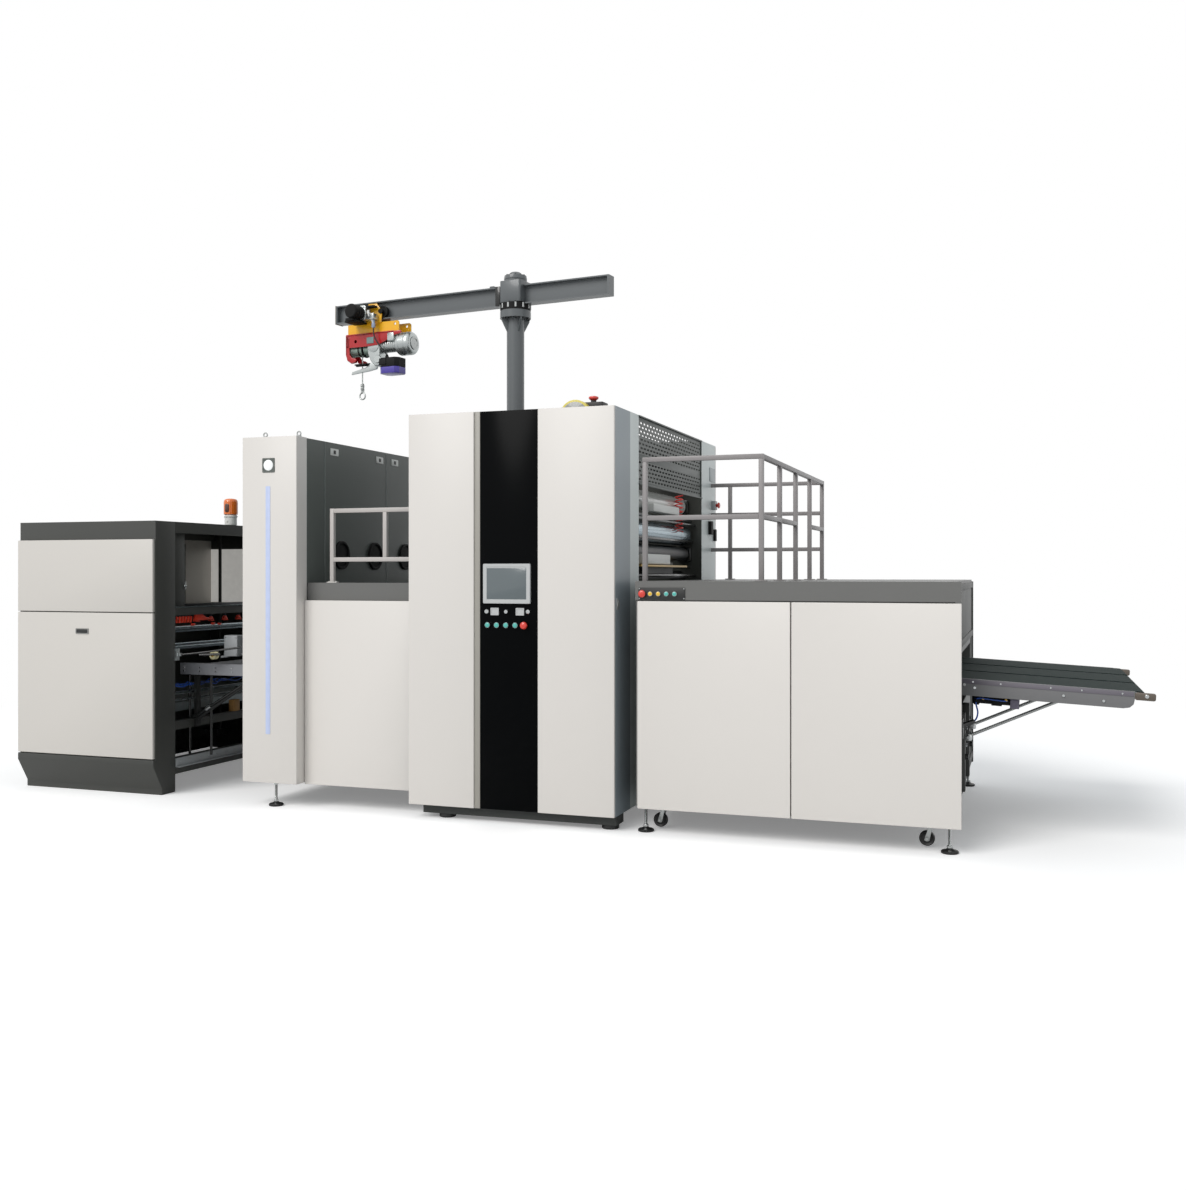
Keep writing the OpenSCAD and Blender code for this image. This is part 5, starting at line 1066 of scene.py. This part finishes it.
ROOF = 1301
RAIL_X = (813.5, 1426.5)  # middles of the posts by the tower and at the end
RAIL_Y = [-961 + 488 * k for k in range(5)]  # middles of the end's five posts
near_y, far_y, end_x = about(RAIL_Y[0], 12.5), about(RAIL_Y[-1], 12.5), about(RAIL_X[1], 12.5)
TOP_RAIL, MIDDLE_RAIL = (1920, 1945), (1616, 1641)
posts = [(RAIL_X[0], RAIL_Y[0]), (RAIL_X[0], RAIL_Y[-1]), *[(RAIL_X[1], y) for y in RAIL_Y]]
tubes = [tube(about(x, 12.5), about(y, 12.5), (ROOF, 1920), "z") for x, y in posts]
tubes += [tube((801, 1439), near_y, TOP_RAIL, "x"), tube((826, 1414), near_y, MIDDLE_RAIL, "x"),
          tube((SIDE, 1439), far_y, TOP_RAIL, "x")]
tubes += [tube(x, far_y, (z - 25, z), "x") for x in ((SIDE, 801), (826, 1414)) for z in (1747, 1512)]
tubes += [tube(end_x, (near_y[1], far_y[0]), TOP_RAIL, "y")]
tubes += [tube(end_x, (RAIL_Y[k] + 12.5, RAIL_Y[k + 1] - 12.5), MIDDLE_RAIL, "y") for k in (0, 1, 3)]
tubes += [slab(about(x, 30), about(y, 25), (ROOF, ROOF + 5), "z", 3, 1) for x, y in posts[1:]]
# Purplish grey enamel: darker than the link's rails, and as smooth.
piece("guard_rail_tubes", tubes, coated("purplish grey enamel, satin", "#8c8888", 0.4),
      hides=["guard_rail"])

# ---------------------------------------------------------------------------
# Conveyor: three endless belts over rollers and slider beds, between folded side plates with
# turned nose blocks. Two threaded stays carry it from posts on the delivery's end.

TILT = math.radians(3)
HINGE_X, HINGE_Z = DELIVERY_END + 20, 822  # the line that the conveyor is tilted about


def on_conveyor(shapes):
    """Shapes in the conveyor's own frame, tilted down by TILT and moved to the hinge line."""
    c, s = math.cos(TILT), math.sin(TILT)
    placed = []
    for points, quads, caps in shapes:
        x, y, z = points.T
        placed.append((np.stack([HINGE_X + x * c + z * s, y, HINGE_Z - x * s + z * c], -1), quads, caps))
    return placed


# Woven belting: very dull and nearly black, with a green cast. The frame is satin mid grey.
belt = coated("dark green belting", "#12211f", 0.8, speck_mm=1.5, depth_mm=0.2, shine=0.2)
grey_coat = coated("grey powder coat, satin", "#6f6f70", 0.42)
NOSE, TAIL = 827.4, -184.5  # the axes of the rollers at the belts' two ends
half = np.linspace(-math.pi / 2, math.pi / 2, 13)
arcs = [np.stack([x + sign * 15.5 * np.cos(half), -17 + sign * 15.5 * np.sin(half)], -1)
        for x, sign in ((NOSE, 1), (TAIL, -1))]
belt_path = np.insert(np.concatenate(arcs), 1, 0, axis=1)[::-1]
belt_y = [-730 + 522.667 * k + 238.333 for k in range(3)]
one_belt = sweep(rounded((-1.5, 1.5), (-238, 238), 1, 1), belt_path, (0, 1, 0), True)
piece("belts", on_conveyor(copies(one_belt, [(0, y, 0) for y in belt_y])), belt,
      hides=["conveyor_belts"])
piece("belt_beds", on_conveyor([slab((-170, 806), about(y, 236), (-28, -3.5), "z", 2, 1) for y in belt_y]),
      steel_sheet)
piece("belt_rollers", on_conveyor(
    [rod(*about(y, 238), 13.5, (x, 0, -17), "y") for y in belt_y for x in (NOSE, TAIL)]
    + [rod(-746, 808, 9, (NOSE, 0, -17), "y"), rod(-779, 841, 15, (-170, 0, -60), "y")]),
    dark_steel)
side_line = [(-200, -84), (748, -84), (776, -78), (792, -62), (795.4, -44), (795.4, 0), (-200, 0)]
piece("conveyor_sides", on_conveyor(
    [flat(side_line, y, y + 14, "y", 2, 3) for y in (-749, 797)]
    + [slab((x, x + 50), (-735, 797), (-84, -36), "y", 4, 2) for x in (150, 455, 699.4)]),
    grey_coat, hides=["conveyor_frame"])
# A slightly violet grey strip, duller than the sides; bracket paint is dark and plain.
piece("side_strips", on_conveyor([slab((-10, 790), y, (-25, -2), "y", 1.5, 0.8)
                                  for y in ((-751.5, -748.5), (810.5, 813.5))]),
      coated("grey edge strip, satin", "#66626a", 0.45))
STAY_Y = (-585, -85)
POST_FACE = DELIVERY_END + 36
piece("stay_posts", [slab((DELIVERY_END, POST_FACE), about(y, 30), (235, 632), "z", 3, 2) for y in STAY_Y],
      coated("dark grey bracket paint", "#363735", 0.45))
# Bronzed castings: brown with a weak metal sheen.
piece("nose_blocks", on_conveyor(
    [slab((795.4, 887.4), (y, y + 14), (-40, -4), "y", 9, 2, 3) for y in (-749, 797)]
    + [slab((790, 830), (y, y + 10), (-34, -8), "y", 5, 1) for y in (-733, 785)]),
    coated("bronzed cast block", "#5f574f", 0.4, metallic=0.3))
piece("conveyor_screws", on_conveyor(
    bolts([(x, -751.5, -14) for x in (60, 190, 420, 560, 740)], 4.5, -3, "y", 12)
    + bolts([(70, -749, -42), (480, -749, -46), (660, -749, -56), (20, -749, -30)], 8, -7, "y")
    + bolts([(848, -749, -20)], 9, -4, "y", 20) + bolts([(x, 811, -44) for x in (70, 480, 660)], 8, 7, "y")),
    bright)
cylinder = lathe([(18, 60), (22, 64), (22, 92), (19, 94), (19, 238), (22, 240)], "x", (0, -635, -109), 28)
piece("air_cylinder", on_conveyor([
    cylinder, slab((150, 200), (-665, -605), (-132, -84), "x", 4, 2),
    slab((66, 92), (-660, -610), (-134, -86), "x", 3, 2)])
    + [rod(-668, -640, 8, (2450.5, 0, 712), "y"), rod(697, 716, 7, (2450.5, -668, 0), "z")],
    deep_black)
# An anodised cap, violet-grey and half metallic, and small bright brass parts.
piece("cylinder_cap", on_conveyor([slab((238, 282), (-662, -608), (-140, -84), "x", 4, 2)]),
      coated("purple-grey anodised cap", "#6c6878", 0.35, metallic=0.4))
piece("brass_fittings", on_conveyor([rod(-672, -656, 7, (x, 0, -100), "y") for x in (110, 218)]
                                    + [slab((96, 234), (-640, -630), (-90, -86), "x", 1, 0.8)]),
      coated("brass, turned", "#b09150", 0.3, metallic=1.0))
tube_path = fine([(70, -668, -104), (100, -674, -98), (160, -674, -102), (210, -672, -104),
                  (224, -664, -103)])
piece("cylinder_tube", on_conveyor([sweep(disc(4), tube_path)]), blue_tube)


def threaded(start, end, radius, pitch=9):
    """Screw-like bar: its radius steps between two values every half pitch along a straight run."""
    start, end = np.asarray(start, float), np.asarray(end, float)
    count = int(np.linalg.norm(end - start) / pitch * 2)
    along = (end - start) / np.linalg.norm(end - start)
    side = np.cross(along, (0, 1, 0))
    rise = np.cross(along, side)
    ring = disc(1, 14)
    r = radius * np.where(np.arange(count) % 2, 1.0, 0.82)[:, None, None]
    line = start + (end - start) * np.linspace(0, 1, count)[:, None]
    return skin(line[:, None] + r * (ring[None, :, :1] * side + ring[None, :, 1:] * rise))


piece("threaded_stays", [threaded((2402, y, 512), (2836, y, 707), 9) for y in STAY_Y], zinc)
clevises = []
for y in STAY_Y:
    clevises += [slab((POST_FACE, 2430), about(y, 16), (494, 526), "y", 6, 2),
                 slab((2826, 2872), about(y, 15), (702, 726), "y", 6, 2),
                 rod(*about(y, 22), 8, (2412, 0, 510), "y"), rod(*about(y, 20), 7, (2852, 0, 714), "y"),
                 *bolts([(POST_FACE, y, 470), (POST_FACE, y + 16, 555)], 11, 9, "x")]
piece("stay_clevises", clevises, bright)
piece("post_fittings", [rod(POST_FACE, 2412, 15, (0, y, 410), "x") for y in STAY_Y]
      + [slab((2361, 2394), (-760, -700), (520, 620), "z", 4, 2),
         sweep(disc(12), [(2365, -700, 560), (2400, -690, 585), (2440, -660, 600)])],
      black_gloss)
piece("end_frame", [slab((DELIVERY_END, 2372), (y, y + 40), (150, 1290), "z", 3, 1) for y in (-1030, 1020)]
      + [slab((DELIVERY_END, 2370), (-990, 1020), (z, z + 36), "y", 3, 1) for z in (180, 950, 1250)],
      charcoal)
piece("end_sheets", [slab((DELIVERY_END, 2363), y, z, axis, 1, 0.5) for y, z, axis in (
    ((-990, 1020), (986, 1250), "y"), ((-990, -790), (216, 950), "z"), ((870, 1020), (216, 950), "z"))],
    charcoal)

# ---------------------------------------------------------------------------
# Feet and casters: zinc-plated studs with lock nuts over black rubber pads, round machine pads
# under the tower, and four swivel casters with pressed forks.

stud_places = [(-1397.5, -1012), (822.5, -975), (2342.5, -975)]
pad = lathe([(38, 0), (42, 3), (42, 10), (38, 14), (27, 15), (13, 24)], "z", sides=40)
tower_pad = lathe([(42, 0), (46, 4), (46, 20), (43, 26)], "z", sides=40)
piece("foot_pads", both(copies(pad, [(x, y, 0) for x, y in stud_places])
                        + copies(tower_pad, [(x, -965, 0) for x in (-323.5, 624.5)])), rubber,
      hides=["machine_feet"])
piece("foot_studs", both([threaded((x, y, 22), (x, y, 140), 8, 4) for x, y in stud_places]
                         + bolts([(x, y, z) for x, y in stud_places for z in (26, 122)], 14, 11, "z")),
      bright)
TRAIL, AXLE_Z = 26, 47  # from the swivel back to the axle, and the axle's height
stem = [(20, 126), (22, 128), (22, 133), (20, 134), (20, 136), (22, 137), (21, 139.7)]
fork_side = np.array([(-12, 122), (6, 122), (-14, 38), (-22, 35), (-30, 35), (-38, 40)])
tyre = [(10, -14), (22, -13), (24, -10), (33, -14), (36, -12), (37.5, -8), (37.5, 8), (36, 12), (33, 14),
        (24, 10), (22, 13), (10, 14)]
caster_places = [(902.5, -885), (2256.5, -885), (902.5, 915), (2256.5, 915)]
for k, (x, y) in enumerate(caster_places, 1):
    axle = x - TRAIL
    piece("fork_%d" % k, [lathe(stem, "z", (x, y, 0)),
                          slab((x - 37, x + 23), about(y, 23), (121.7, 126), "z", 6, 1),
                          flat(fork_side + [x, 0], y - 23, y - 19, "y", 0.8),
                          flat(fork_side + [x, 0], y + 19, y + 23, "y", 0.8),
                          rod(*about(y, 23), 5, (axle, 0, AXLE_Z), "y"),
                          *bolts([(axle, y - 23, AXLE_Z)], 9, -6, "y"),
                          *bolts([(axle, y + 23, AXLE_Z)], 9, 6, "y")],
          zinc, body="swivel_%d" % k, hides=["caster_fork_%d" % k])
    piece("tyre_%d" % k, [lathe(tyre, "y", (axle, y, AXLE_Z), 40)], rubber,
          body="wheel_%d" % k, hides=["caster_wheel_%d" % k])
